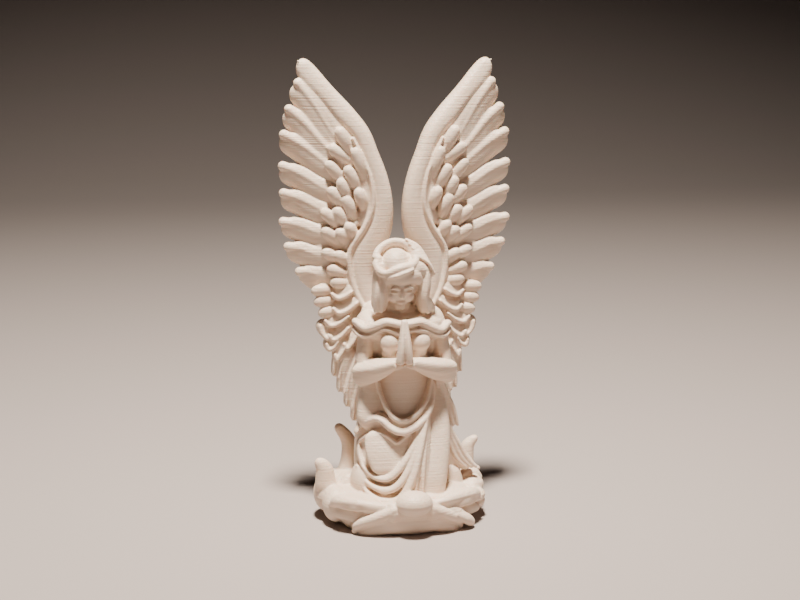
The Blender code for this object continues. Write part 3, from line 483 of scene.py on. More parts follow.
def head(clay):
    """The bowed head: face, dome, the rolled band round it, and the hair at each side."""
    ellipsoid(clay, (-1.9, -6.1, 57.7), (3.0, 3.1, 3.5), 35)
    ellipsoid(clay, (-1.0, -4.0, 55.6), (4.8, 4.0, 5.0), 30)
    ellipsoid(clay, (-0.8, -5.6, 52.6), (3.4, 3.2, 4.3), FACE_BOW)
    ellipsoid(clay, (-1.6, -3.2, 58.2), (4.0, 2.5, 3.1))
    ellipsoid(clay, (-0.2, -0.6, 54.0), (5.6, 4.6, 7.2))
    band = (
        (-6.3, -6.4, 58.7), (-5.3, -4.8, 60.6), (-2.7, -3.9, 62.1), (0.0, -3.9, 62.0),
        (1.9, -4.8, 60.6), (2.5, -6.6, 58.8), (1.5, -8.4, 57.8), (-0.6, -9.3, 57.5),
        (-2.6, -9.5, 56.9), (-4.4, -9.1, 56.2), (-5.8, -8.0, 56.9), (-6.3, -6.4, 58.7),
    )
    stroke(clay, band, 0.8, 0.9, FRONT + UP)
    brow = ((1.6, -8.6, 57.2), (0.0, -9.2, 56.6), (-2.2, -9.4, 55.9), (-4.2, -8.6, 55.4))
    stroke(clay, brow, (0.4, 0.6, 0.6, 0.4), 1.2)
    sweep = ((1.0, -8.0, 57.6), (3.0, -7.2, 57.0), (4.6, -6.2, 56.0), (6.2, -5.2, 55.4))
    stroke(clay, sweep, (0.6, 1.1, 1.2, 0.5), (0.8, 1.4, 1.2, 0.6), UP)
    for share in (0.0, 1.0, 2.0, 3.0):
        lock = (
            (0.6 + share * 0.6, -3.2 - share * 0.6, 62.0 - share * 0.9),
            (2.9 + share * 0.6, -3.9 - share * 0.5, 60.4 - share * 1.0),
            (4.5 + share * 0.45, -4.4 - share * 0.3, 58.2 - share * 0.9),
        )
        stroke(clay, lock, (0.6, 0.85, 0.6), 1.2)
    left = ((-4.9, -5.2, 58.4), (-4.8, -5.6, 55.0), (-5.0, -5.8, 51.6), (-5.4, -5.0, 47.4))
    stroke(clay, left, (1.4, 2.0, 1.9, 1.7), 2.2, boxy=0.85)
    for shift in (-0.9, 0.3):
        curl = [(x + shift * share, y - 1.9, z) for (x, y, z), share in zip(left, (0.4, 1, 1.1, 1))]
        stroke(clay, curl, (0.4, 0.6, 0.7, 0.5), 0.8)
    right = ((4.6, -5.2, 56.0), (4.5, -5.6, 53.0), (4.2, -5.4, 50.2), (5.0, -4.6, 46.8))
    stroke(clay, right, (1.4, 1.5, 1.5, 1.7), 2.0, boxy=0.85)
    curl = [(x + 0.3, y - 1.7, z) for x, y, z in right]
    stroke(clay, curl, (0.4, 0.6, 0.6, 0.5), 0.8)
    stroke(clay, ((2.9, -4.4, 56.0), (2.9, -4.6, 51.0)), 1.4, 2.0)
    stroke(clay, (on_face(0, 1.4, 2.8), on_face(0, -0.6, 3.6)), (0.4, 0.6), (0.5, 0.8))
    for side in (-1, 1):
        ellipsoid(clay, on_face(side * 1.4, 0.6, 2.7), (0.9, 0.6, 0.4), FACE_BOW)
        ellipsoid(clay, on_face(side * 1.6, -1.0, 2.1), (1.3, 1.0, 1.3), FACE_BOW)
        ridge = [on_face(side * x, up, 2.9) for x, up in ((0.5, 1.5), (1.5, 1.9), (2.5, 1.5))]
        stroke(clay, ridge, (0.3, 0.4, 0.3), 0.4)
    ellipsoid(clay, on_face(0, -1.9, 2.9), (1.0, 0.6, 0.45), FACE_BOW)
    ellipsoid(clay, on_face(0, -3.4, 2.2), (1.3, 0.9, 0.9), FACE_BOW)
    stroke(clay, ((-0.6, -1.5, 43.6), (-0.8, -4.4, 51.0)), (3.2, 2.3), 2.4)


def bust(clay):
    """The cape, shoulders, arms and joined hands."""
    cape = (
        (42.4, 9.4, -6.6, 3.4), (43.4, 10.2, -8.3, 3.8), (44.2, 9.8, -7.9, 3.8),
        (45.0, 7.6, -6.6, 3.6), (46.8, 3.8, -4.6, 3.0),
    )
    loft(clay, cape)
    upper = (
        (-10.6, -3.0, 45.2), (-8.4, -5.3, 43.9), (-6.2, -7.0, 44.7), (-4.0, -8.0, 45.6),
        (-1.0, -8.9, 45.1), (1.2, -8.8, 45.3), (3.2, -8.2, 45.4), (6.0, -7.0, 43.9),
        (8.2, -5.4, 43.0), (10.4, -3.2, 44.2),
    )
    stroke(clay, upper, 0.85, 1.3)
    lower = (
        (-10.6, -2.8, 43.2), (-9.4, -4.2, 42.2), (-7.6, -5.7, 42.4), (-4.6, -7.6, 44.0),
        (-1.2, -8.5, 43.2), (1.3, -8.5, 43.8), (4.0, -7.8, 43.5), (7.3, -6.1, 42.0),
        (9.2, -4.6, 41.7), (10.5, -2.8, 42.6),
    )
    stroke(clay, lower, 0.6, 1.2)
    ellipsoid(clay, (-7.2, -1.3, 43.4), (2.7, 4.3, 3.4))
    ellipsoid(clay, (-4.6, -2.6, 43.2), (4.0, 4.4, 2.8))
    ellipsoid(clay, (6.5, -1.3, 43.4), (3.4, 4.6, 4.2))
    ellipsoid(clay, (4.0, -2.6, 43.4), (4.0, 4.6, 3.2))
    for side in (-1, 1):
        arm = (
            (side * 7.5 + 0.4, -2.0, 44.0), (side * 8.1 + 0.4, -2.6, 40.0),
            (side * 8.8 + 0.4, -3.4, 34.2),
        )
        stroke(clay, arm, (1.8, 2.0, 2.1), 2.5)
        ellipsoid(clay, (0.1 + side * 3.2, -7.6, 41.0), (2.3, 2.1, 2.3))
        ellipsoid(clay, (side * 5.8, -1.6, 40.0), (2.6, 3.0, 4.6))
        ellipsoid(clay, (side * 5.4, 2.4, 44.6), (3.0, 2.4, 3.4))
        stroke(clay, ((0.1 + side * 3.2, -6.8, 41.0), (-0.1 + side * 3.0, -6.4, 36.0)), 1.8, 2.2)
        wrist = (-0.9 + side * 1.3, -12.0, 37.4)
        forearm = ((side * 9.4 + 0.5, -3.6, 34.2), (side * 6.0 - 0.1, -8.4, 35.6), wrist)
        stroke(clay, forearm, (1.9, 1.6, 0.9), (2.9, 2.4, 1.3), blunt=0.2, boxy=0.6)
        sleeve = ((side * 9.7 + 0.5, -3.4, 32.7), (side * 6.4 - 0.1, -7.4, 34.3), wrist)
        stroke(clay, sleeve, (1.9, 1.7, 0.9), (2.5, 2.2, 1.2), blunt=0.2, boxy=0.7)
        palm = (
            (-0.9 + side * 1.0, -12.9, 37.2), (-0.9 + side * 0.7, -13.3, 41.0),
            (-0.95 + side * 0.25, -12.8, 47.0),
        )
        stroke(clay, palm, (0.95, 0.75, 0.4), (1.5, 1.3, 0.6))
    stroke(clay, ((-0.4, -6.0, 38.0), (-0.8, -12.0, 38.4)), 1.5, 1.4, UP)


def drapery(clay):
    """The folds, hems and panels that hang on the robe."""
    loft(clay, ROBE)
    hip = ((-6.0, 36.0), (-6.2, 31.0), (-6.6, 27.0), (-7.0, 21.0))
    stroke(clay, on_robe(hip, -0.9), (2.6, 3.1, 3.4, 3.4), 2.2, boxy=0.8)
    leg = ((6.2, 34.0), (6.9, 29.0), (7.2, 24.0), (6.8, 18.0), (5.8, 11.0), (4.8, 5.0))
    depths = (1.6, 2.3, 2.6, 2.6, 2.6, 2.4)
    stroke(clay, on_robe(leg, -0.9), (1.5, 2.2, 3.0, 3.3, 3.3, 3.2), depths, boxy=0.8)
    stroke(clay, on_robe(((4.6, 28.0), (2.8, 18.0), (0.8, 6.0)), 0.0), (1.3, 2.5, 3.4), 1.3)
    sash = ((-9.0, 22.6), (-6.0, 24.6), (-2.4, 22.6), (0.8, 23.0), (3.8, 25.6), (5.6, 30.0))
    stroke(clay, on_robe(sash, 0.2), (0.6, 1.0, 1.3, 1.3, 1.2, 0.8), 1.2)
    neckline = (
        (-6.6, 35.0), (-5.9, 32.0), (-5.1, 28.9), (-3.8, 25.9), (-2.5, 24.5), (-0.7, 24.0),
        (1.2, 24.6), (3.0, 26.1), (4.6, 28.2), (6.0, 32.0), (6.6, 35.0),
    )
    stroke(clay, on_robe(neckline, 1.4), (0.4, 0.5, 0.55, 0.5, 0.4), 0.9)
    hem = (
        (-10.6, 20.2), (-9.4, 22.1), (-7.9, 23.7), (-6.4, 24.4), (-5.0, 23.9), (-3.8, 22.8),
        (-2.4, 22.0), (-0.9, 21.7), (0.8, 22.2), (2.8, 23.4), (4.6, 25.0), (5.9, 27.6),
        (6.4, 31.4),
    )
    stroke(clay, on_robe(hem, 1.5), (0.5, 0.75, 0.8, 0.75, 0.5), 1.2)
    line = (
        (-10.0, 17.9), (-7.9, 20.4), (-5.6, 21.2), (-3.8, 20.5), (-2.2, 19.4), (-0.5, 20.4),
        (1.0, 21.2),
    )
    stroke(clay, on_robe(line, 0.5), 0.45, 0.8)
    knee = ((-5.6, 22.0), (-5.0, 17.5), (-4.2, 12.4))
    stroke(clay, on_robe(knee, 0.1), (3.4, 3.9, 2.9), (0.9, 1.1, 0.8), blunt=0.5, boxy=0.6)
    ellipsoid(clay, (-8.6, -4.8, 9.4), (3.0, 4.6, 4.6))
    band = ((-10.0, 10.0), (-8.8, 8.0), (-6.0, 6.4), (-2.4, 6.2), (1.0, 8.6))
    stroke(clay, on_robe(band, 0.0), (1.2, 1.9, 1.7, 1.2), 1.8)
    for path, half, lift in FOLDS:
        stroke(clay, on_robe(path, lift), (half * 0.5, half, half, half * 0.6), half * 1.5)
    shawl = (
        ((7.4, -3.6, 33.0), (8.8, -3.2, 28.0), (10.0, -2.8, 24.6), (11.2, -2.4, 20.4)),
        ((9.6, -2.8, 21.2), (11.2, -2.8, 17.2), (13.0, -2.6, 13.4), (15.6, -2.4, 10.6)),
    )
    for path in shawl:
        stroke(clay, path, (0.8, 1.5, 1.9, 1.6), (1.2, 1.9, 1.8, 1.2), blunt=0.7)
        for shift in (-0.9, 0.3, 1.4):
            shares = (0.4, 0.8, 1.0, 0.9)
            ridge = [(x + shift * s, y - 1.5, z + 0.2) for (x, y, z), s in zip(path, shares)]
            stroke(clay, ridge, (0.3, 0.45, 0.5, 0.4), 0.6)
        inner = [(x - 2.2, y + 1.0, z - 0.6) for x, y, z in path]
        stroke(clay, inner, (1.2, 2.0, 2.2, 1.4), (1.6, 2.6, 2.6, 1.6))
    for x in (-8.0, -4.6, -1.2, 2.2, 5.6, 8.6):
        heights = (32.0, 24.0, 14.0, 6.0)
        reach = [x * (0.6 + 0.4 * (32 - z) / 26) for z in heights]
        fold = []
        for place, z in zip(reach, heights):
            fold.append((place, ROBE_BACK_SHARE * -robe_front(place, z), z))
        stroke(clay, fold, (0.7, 1.3, 1.5, 1.6), (1.2, 1.6, 1.8, 1.8))


def around(angle, radius, z):
    """A point of the base at this angle, in degrees from the front towards +X."""
    turn = math.radians(angle)
    return (radius * math.sin(turn), -radius * math.cos(turn), z)


def petals(clay):
    """The ring of petals that the figure kneels on."""
    loft(clay, BASE)
    for angle, reach, lip in PETALS:
        path = (
            around(angle, 9, -1.5), around(angle, 14.5, 1.6), around(angle, reach - 1.6, lip - 3.2),
            around(angle, reach, lip),
        )
        stroke(clay, path, (4.0, 6.0, 6.2, 4.2), (1.6, 1.6, 1.5, 0.9), Vector(around(angle, 1, 0)))
        inner = (around(angle, 7, 7.4), around(angle, 12.5, 7.0), around(angle, reach, lip))
        stroke(clay, inner, (4.0, 5.6, 4.0), (1.4, 1.4, 0.8), UP)
    front_petal(clay)
    side_petals(clay)
    curled_tips(clay)


def front_petal(clay):
    """The petal at the front, whose tip curls over into a round knob."""
    ellipsoid(clay, (0.6, -16.6, 7.4), (4.0, 3.6, 2.8), -12)
    ellipsoid(clay, (0.1, -10.4, 3.2), (11.2, 6.7, 4.6))
    tent = (
        (-11.8, -11.6, 0.8), (-9.4, -13.6, 3.1), (-5.4, -15.0, 4.9), (0.2, -15.8, 5.8),
        (5.6, -15.0, 4.9), (9.2, -13.8, 3.2), (11.4, -12.0, 1.2),
    )
    stroke(clay, tent, (1.2, 2.2, 2.9, 2.2, 1.2), (1.3, 1.7, 1.9, 1.7, 1.3), blunt=0.7)
    skirt = [(x * 0.99, y + 0.7, z - 2.8) for x, y, z in tent]
    stroke(clay, skirt, (1.0, 1.9, 2.6, 1.9, 1.0), (1.2, 1.6, 1.8, 1.6, 1.2))
    for side in (-1, 1):
        ellipsoid(clay, (0.4 + side * 4.2, -16.3, 5.5), (1.8, 1.5, 2.2))
    leaf = ((6.2, -14.8, 6.2), (10.0, -13.8, 4.6), (13.4, -11.4, 1.4))
    stroke(clay, leaf, (0.5, 1.2, 1.0), (0.9, 1.6, 1.3))


def broad_petal(clay, lip, lip_widths, skirt_widths, face):
    """A petal's thick lip, and the skirt under it that is set a little back."""
    stroke(clay, lip, lip_widths, 1.4, face)
    skirt = [(x * 0.98, y + 1.2, z - 2.7) for x, y, z in lip]
    stroke(clay, skirt, skirt_widths, 1.4, face)


def side_petals(clay):
    """The broad petals at either side of the front one, with the shells behind them."""
    lip = (
        (-16.0, -7.8, 5.4), (-14.9, -10.2, 6.5), (-12.0, -12.6, 6.8), (-8.8, -14.4, 6.5),
        (-5.4, -15.2, 6.3),
    )
    face = Vector((-0.5, -0.8, 0.1))
    broad_petal(clay, lip, (0.7, 1.2, 1.4, 1.4, 1.2), (0.9, 1.6, 2.0, 2.0, 1.6), face)
    top = ((-14.6, -6.2, 6.2), (-11.4, -9.8, 6.6), (-6.0, -12.6, 6.6))
    stroke(clay, top, (3.0, 4.4, 3.8), 1.4, UP, boxy=0.5)
    shell = ((-12.6, -1.6, 6.6), (-10.6, -6.0, 6.8), (-7.0, -10.0, 6.2))
    stroke(clay, shell, (2.6, 3.4, 2.4), 1.5, UP)
    stroke(clay, ((-13.8, -6.0, 3.4), (-10.6, -9.2, 3.4), (-6.0, -11.6, 3.8)), (3.2, 3.8, 3.2), 2.8)
    ellipsoid(clay, (-15.0, -5.4, 4.6), (3.0, 4.6, 4.0))
    ellipsoid(clay, (-16.2, -0.6, 5.6), (3.2, 4.8, 4.2))
    lip = (
        (4.6, -15.2, 6.3), (8.0, -14.2, 6.5), (11.0, -12.4, 6.3), (14.6, -9.8, 5.9),
        (16.5, -7.4, 5.1),
    )
    face = Vector((0.5, -0.8, 0.1))
    broad_petal(clay, lip, (1.1, 1.4, 1.4, 1.2, 0.8), (1.6, 2.0, 2.0, 1.6, 0.9), face)
    top = ((14.8, -5.6, 5.8), (11.2, -9.4, 6.2), (6.0, -12.2, 6.4))
    stroke(clay, top, (3.0, 4.4, 3.8), 1.4, UP, boxy=0.5)
    stroke(clay, ((14.0, -5.6, 3.0), (10.6, -9.0, 3.2), (6.0, -11.6, 3.6)), (3.2, 3.6, 3.2), 2.8)
    ellipsoid(clay, (15.6, -2.2, 5.0), (3.0, 4.0, 3.6))
    ellipsoid(clay, (16.0, -2.6, 6.6), (2.7, 2.6, 2.2))
    ellipsoid(clay, (16.2, -5.4, 5.2), (2.3, 2.4, 1.5))
    ellipsoid(clay, (16.4, -4.0, 3.4), (2.3, 3.0, 1.9))
    stroke(clay, ((10.6, -3.4, 4.0), (11.2, -3.4, 8.0), (10.8, -3.0, 11.8)), (3.0, 2.6, 1.8), 2.0)
    rolled = (
        (12.8, -3.2, 5.6), (13.4, -1.6, 7.8), (15.0, -0.6, 8.9), (17.2, 0.0, 8.8),
        (18.6, 0.4, 7.0),
    )
    stroke(clay, rolled, (0.6, 0.7, 0.7, 0.6), 1.6)


def curled_tips(clay):
    """The three petals that rise and curl outward behind the figure."""
    left = ((-16.8, -2.6, 6.0), (-17.0, -2.8, 9.6), (-17.3, -3.0, 12.0), (-18.9, -3.0, 14.2))
    stroke(clay, left, (2.8, 2.3, 1.9, 1.0), (2.2, 1.8, 1.4, 0.9))
    back = ((-11.4, 8.6, 5.0), (-10.2, 8.8, 11.0), (-10.4, 9.0, 14.6), (-13.1, 9.0, 18.5))
    stroke(clay, back, (2.4, 1.9, 1.7, 1.0), (2.4, 1.8, 1.4, 0.9))
    stroke(clay, ((-12.6, -2.6, 6.0), (-12.0, -2.0, 8.4), (-10.8, -1.6, 9.8)), (2.0, 1.6, 0.9), 1.6)
    right = ((16.4, 6.0, 6.0), (16.4, 6.0, 10.0), (16.8, 6.0, 13.0), (18.9, 6.0, 15.2))
    stroke(clay, right, (2.4, 1.8, 1.6, 0.7), (2.2, 1.7, 1.4, 0.8))
    stroke(clay, ((16.0, 4.0, 6.4), (17.8, 4.6, 7.8), (19.2, 5.4, 7.9)), (1.2, 0.9, 0.5), 1.0)


def strands(clay, path, halves, depth, count, thickness):
    """Fine strands side by side over the front of one lock of hair."""
    for step in range(count):
        share = 0.85 * (2 * (step + 0.5) / count - 1)
        out = depth * math.sqrt(1 - share**2)
        line = [(x + share * half, y - out, z) for (x, y, z), half in zip(path, halves)]
        stroke(clay, line, (thickness * 0.6, thickness, thickness, thickness * 0.6), thickness * 1.2)


def hair_strands(clay):
    """The strands drawn over the locks, the crown and the forehead."""
    left = ((-4.9, -5.2, 58.2), (-4.8, -5.6, 55.0), (-5.0, -5.8, 51.6), (-5.4, -5.0, 47.6))
    strands(clay, left, (1.1, 1.9, 1.8, 1.5), 2.15, 6, 0.32)
    right = ((4.6, -5.2, 56.0), (4.5, -5.6, 53.0), (4.2, -5.4, 50.2), (5.0, -4.6, 47.2))
    strands(clay, right, (1.2, 1.4, 1.4, 1.5), 1.95, 5, 0.3)
    for share in (-0.5, 0.4, 1.3, 2.2, 3.0):
        line = (
            (0.9 + share * 0.6, -4.4 - share * 0.6, 62.4 - share * 0.9),
            (3.5 + share * 0.6, -5.2 - share * 0.5, 60.9 - share * 1.0),
            (5.5 + share * 0.4, -5.6 - share * 0.3, 58.0 - share * 0.9),
        )
        stroke(clay, line, (0.3, 0.36, 0.32), 0.8)
    for side in (-1, 1):
        for step in (0, 1, 2):
            line = (
                (-0.8 + side * 0.4, -9.2 + step * 0.2, 56.2 + step * 0.2),
                (-0.8 + side * (1.9 + step * 0.3), -9.0 + step * 0.2, 55.9 + step * 0.3),
                (-0.8 + side * (3.2 + step * 0.2), -7.7, 54.4 + step * 0.5),
            )
            stroke(clay, line, (0.2, 0.32, 0.2), 0.4)
    ellipsoid(clay, (-5.5, -6.2, 58.6), (0.9, 1.2, 1.4))
    ellipsoid(clay, (4.8, -5.2, 55.4), (1.6, 1.7, 2.0))
    fringe = (
        on_face(-3.8, 1.4, 0.8), on_face(-2.2, 3.4, 1.5), on_face(0.0, 4.0, 1.7),
        on_face(2.4, 3.6, 1.5), on_face(4.2, 1.4, 0.8),
    )
    stroke(clay, fringe, (0.9, 1.7, 1.9, 1.7, 0.9), (0.7, 1.0, 1.1, 1.0, 0.7))
    ellipsoid(clay, (1.2, -7.4, 56.9), (2.4, 1.6, 1.5))
    ellipsoid(clay, (5.5, -5.7, 55.5), (1.4, 1.3, 1.0))
    flare = ((4.4, -5.0, 50.4), (5.4, -4.6, 48.4), (7.0, -3.9, 46.8))
    stroke(clay, flare, (1.2, 1.4, 0.8), (1.4, 1.4, 0.8))


def fold_edge(clay):
    """The edge of cloth that hangs from the hem's corner to the lowest folds."""
    line = ((-9.9, 18.2), (-9.7, 15.6), (-9.0, 13.2), (-8.0, 11.0))
    stroke(clay, on_robe(line, 0.5), (0.4, 0.6, 0.6, 0.5), 1.2)


def hem_backing(clay):
    """The cloth between the cape's two hems."""
    line = (
        (-10.0, -2.6, 44.0), (-8.0, -4.8, 43.1), (-4.4, -6.9, 44.3), (-1.0, -7.8, 44.1),
        (1.2, -7.7, 44.4), (4.0, -6.9, 44.0), (8.0, -4.8, 42.6), (10.0, -2.6, 43.2),
    )
    stroke(clay, line, 1.1, 0.9)


def filled_hollows(clay):
    """The rounded top of the cape, and the cloth that joins the forearms to the chest."""
    ellipsoid(clay, (0.0, -4.6, 44.4), (8.6, 3.4, 2.5))
    for side in (-1, 1):
        ellipsoid(clay, (side * 3.4, -7.4, 36.0), (3.4, 3.0, 1.3))


def nozzle_blobs(clay, side):
    """The specks of plastic that the nozzle leaves at a wing's tip."""
    specks = ((20.4, 0.4, 101.0), (21.2, 0.7, 100.3), (19.6, 0.5, 100.8), (20.9, 0.1, 100.6))
    for x, back, z in specks:
        ellipsoid(clay, (side * x + WING_SHIFT, wing_y(x) + back, z), (0.22, 0.25, 0.2))


def petal_edges(clay):
    """The crisp rolled edges of the front petals, and the tips that they run out to."""
    for side, tip in ((-1, -12.0), (1, 11.6)):
        edge = (
            (0.4 + side * 3.4, -17.2, 6.7), (0.4 + side * 6.6, -16.4, 5.0),
            (tip - side * 1.6, -14.6, 3.0), (tip, -12.9, 1.5),
        )
        stroke(clay, edge, (0.9, 1.15, 1.1, 0.9), (0.8, 1.0, 1.0, 0.9))
        stroke(clay, ((tip - side * 0.4, -13.2, 1.4), (tip, -12.4, 0.2)), 0.7, 0.7)
    far_tip = ((9.6, -15.0, 4.4), (12.6, -13.4, 2.4), (14.2, -11.8, 0.9))
    stroke(clay, far_tip, (0.6, 1.2, 1.0), (0.9, 1.5, 1.3))
    left = (
        (-16.0, -8.4, 6.0), (-14.6, -11.2, 7.1), (-11.4, -13.4, 7.2), (-8.0, -14.9, 6.8),
        (-4.8, -15.7, 6.5),
    )
    stroke(clay, left, (1.0, 1.3, 1.2, 1.0, 0.8), (1.1, 1.5, 1.4, 1.2, 0.9))
    right = (
        (4.8, -15.6, 6.9), (8.0, -14.8, 7.4), (11.2, -13.0, 7.5), (14.4, -10.6, 7.2),
        (16.3, -8.0, 6.2),
    )
    stroke(clay, right, (0.8, 1.0, 1.2, 1.2, 0.9), (0.9, 1.2, 1.4, 1.4, 1.0))


def joined(clay, name):
    """Joins the strokes of one group into one object with its faces turned outward."""
    deselected()
    for piece in clay:
        piece.select_set(True)
    bpy.context.view_layer.objects.active = clay[0]
    bpy.ops.object.join()
    group = bpy.context.object
    group.name = name
    bpy.ops.object.mode_set(mode="EDIT")
    bpy.ops.mesh.select_all(action="SELECT")
    bpy.ops.mesh.normals_make_consistent(inside=False)
    bpy.ops.object.mode_set(mode="OBJECT")
    deselected()
    return group


def modified(item, kind, **settings):
    """Adds a modifier to the object with these settings and applies it."""
    active(item)
    modifier = item.modifiers.new(kind.title(), kind)
    for name, value in settings.items():
        setattr(modifier, name, value)
    bpy.ops.object.modifier_apply(modifier=modifier.name)


def largest_part(item):
    """Keeps the object's largest loose part, so no closed hollow is left inside it."""
    active(item)
    bpy.ops.mesh.separate(type="LOOSE")
    parts = sorted(bpy.context.selected_objects, key=lambda part: len(part.data.vertices))
    for part in parts[:-1]:
        bpy.data.objects.remove(part, do_unlink=True)
    return parts[-1]


def cut_flat(item):
    """Cuts the object off at Z = 0 and closes it with a flat underside."""
    active(item)
    bpy.ops.object.mode_set(mode="EDIT")
    bpy.ops.mesh.select_all(action="SELECT")
    bpy.ops.mesh.bisect(
        plane_co=(0, 0, 0), plane_no=(0, 0, -1), use_fill=True, clear_outer=True, threshold=1e-4
    )
    bpy.ops.mesh.select_all(action="SELECT")
    bpy.ops.mesh.normals_make_consistent(inside=False)
    bpy.ops.object.mode_set(mode="OBJECT")


def fitted_to_frame(item):
    """Turns hundredths of the height into metres, on the same footprint as the frame's node."""
    places = corners_of(item)
    low, high = places.min(axis=0), places.max(axis=0)
    middle = np.array(((low[0] + high[0]) / 2, (low[1] + high[1]) / 2, low[2]))
    places = (places - middle) * (FIGURE_HEIGHT / (high[2] - low[2]))
    centre = (FIGURE_LOW + FIGURE_HIGH) / 2
    places += (centre.x, centre.y, FIGURE_LOW.z)
    move_corners(item, places)


def linear(hex_colour):
    """An sRGB hex colour as linear red, green, blue and alpha."""
    values = [int(hex_colour[i : i + 2], 16) / 255 for i in (1, 3, 5)]
    return (*(v / 12.92 if v <= 0.04045 else ((v + 0.055) / 1.055) ** 2.4 for v in values), 1.0)


def add(tree, kind, settings=None, links=None):
    """Adds a shader node with its settings, on itself or its sockets, and the links into it."""
    node = tree.nodes.new(kind)
    for name, value in (settings or {}).items():
        if isinstance(name, str) and hasattr(node, name):
            setattr(node, name, value)
        else:
            node.inputs[name].default_value = value
    for name, output in (links or {}).items():
        tree.links.new(output, node.inputs[name])
    return node


def printed_ivory_pla():
    """Ivory PLA from a desktop printer: matt, faintly see-through, ridged by its layers."""
    looks = bpy.context.scene.angel_looks
    material = bpy.data.materials.new("printed_ivory_pla")
    material.use_nodes = True
    tree = material.node_tree
    shader = tree.nodes["Principled BSDF"]
    place = add(tree, "ShaderNodeTexCoord").outputs["Object"]
    height = add(tree, "ShaderNodeSeparateXYZ", None, {0: place}).outputs["Z"]
    # Uneven pigment leaves soft clouds of a slightly deeper cream, some 6 mm across.
    clouds = add(tree, "ShaderNodeTexNoise", {"Scale": 1 / (6 * MM), "Detail": 3.0}, {"Vector": place})
    settings = {"data_type": "RGBA", 6: linear(looks.plastic_colour), 7: linear(looks.deep_colour)}
    cream = add(tree, "ShaderNodeMix", settings, {0: clouds.outputs["Fac"]})
    # Level bands, slightly paler and deeper, one and a half drawn layers in scale.
    settings = {"noise_dimensions": "1D", "Scale": 1 / (1.5 * looks.layer_pitch), "Detail": 2.0}
    bands = add(tree, "ShaderNodeTexNoise", settings, {"W": height})
    settings = {"From Min": 0.35, "From Max": 0.7, "To Min": 0.0, "To Max": looks.band_strength}
    bands = add(tree, "ShaderNodeMapRange", settings, {"Value": bands.outputs["Fac"]})
    settings = {"data_type": "RGBA", 7: linear(looks.line_colour)}
    cream = add(tree, "ShaderNodeMix", settings, {0: bands.outputs[0], 6: cream.outputs[2]})
    tree.links.new(cream.outputs[2], shader.inputs["Base Color"])
    # Each layer is a rounded bead of its own height. The lines fade in and out over the skin.
    settings = {"noise_dimensions": "1D", "Scale": 1 / looks.layer_pitch, "Detail": 1.0}
    beads = add(tree, "ShaderNodeTexNoise", settings, {"W": height})
    patches = add(tree, "ShaderNodeTexNoise", {"Scale": 1 / (9 * MM), "Detail": 1.0}, {"Vector": place})
    links = {0: beads.outputs["Fac"], 1: patches.outputs["Fac"]}
    bead = add(tree, "ShaderNodeMath", {"operation": "MULTIPLY"}, links)
    settings = {"Strength": 1.0, "Distance": looks.layer_depth}
    lines = add(tree, "ShaderNodeBump", settings, {"Height": bead.outputs[0]})
    # Specks under 1 mm, such as a nozzle leaves, most on the faces that look up.
    normal = add(tree, "ShaderNodeNewGeometry").outputs["Normal"]
    facing = add(tree, "ShaderNodeSeparateXYZ", None, {0: normal})
    settings = {"From Min": -0.2, "From Max": 0.8, "To Min": 0.1, "To Max": 1.0}
    upward = add(tree, "ShaderNodeMapRange", settings, {"Value": facing.outputs["Z"]})
    specks = add(tree, "ShaderNodeTexNoise", {"Scale": 1 / (0.7 * MM), "Detail": 3.0}, {"Vector": place})
    links = {0: specks.outputs["Fac"], 1: upward.outputs[0]}
    grain = add(tree, "ShaderNodeMath", {"operation": "MULTIPLY"}, links)
    settings = {"Strength": 1.0, "Distance": looks.speck_depth}
    links = {"Height": grain.outputs[0], "Normal": lines.outputs[0]}
    skin = add(tree, "ShaderNodeBump", settings, links)
    tree.links.new(skin.outputs[0], shader.inputs["Normal"])
    shader.inputs["Roughness"].default_value = 0.48
    shader.inputs["IOR"].default_value = 1.46
    shader.inputs["Subsurface Weight"].default_value = looks.glow
    shader.inputs["Subsurface Radius"].default_value = (1.0, 0.42, 0.22)
    shader.inputs["Subsurface Scale"].default_value = looks.glow_reach
    return material


def pale_paper():
    """Matt pale studio paper, with the faint mottle of its fibres."""
    material = bpy.data.materials.new("pale_studio_paper")
    material.use_nodes = True
    tree = material.node_tree
    shader = tree.nodes["Principled BSDF"]
    place = add(tree, "ShaderNodeTexCoord").outputs["Object"]
    fibres = add(tree, "ShaderNodeTexNoise", {"Scale": 1 / (3 * MM), "Detail": 4.0}, {"Vector": place})
    settings = {"Strength": 0.2, "Distance": 0.02 * MM}
    press = add(tree, "ShaderNodeBump", settings, {"Height": fibres.outputs["Fac"]})
    tree.links.new(press.outputs[0], shader.inputs["Normal"])
    shader.inputs["Base Color"].default_value = linear(bpy.context.scene.angel_studio.paper_colour)
    shader.inputs["Roughness"].default_value = 0.9
    return material


def paper_sweep():
    """A sheet of paper that lies flat under the figure and curves up behind it."""
    level, bend, rise, half_width = 0.5, 0.35, 1.0, 1.2
    bpy.ops.mesh.primitive_grid_add(x_subdivisions=4, y_subdivisions=60, size=2)
    paper = bpy.context.object
    paper.name = "paper_sweep"
    flat = corners_of(paper)
    arc = bend * math.pi / 2
    run = (flat[:, 1] + 1) / 2 * (2 * level + arc + rise)
    turn = np.clip(run - 2 * level, 0, arc) / bend
    back = np.minimum(run, 2 * level) - level + bend * np.sin(turn)
    up = bend * (1 - np.cos(turn)) + np.maximum(run - 2 * level - arc, 0)
    move_corners(paper, np.stack((flat[:, 0] * half_width, back, up), axis=1))
    active(paper)
    bpy.ops.object.shade_smooth()
    paper.data.materials.append(pale_paper())


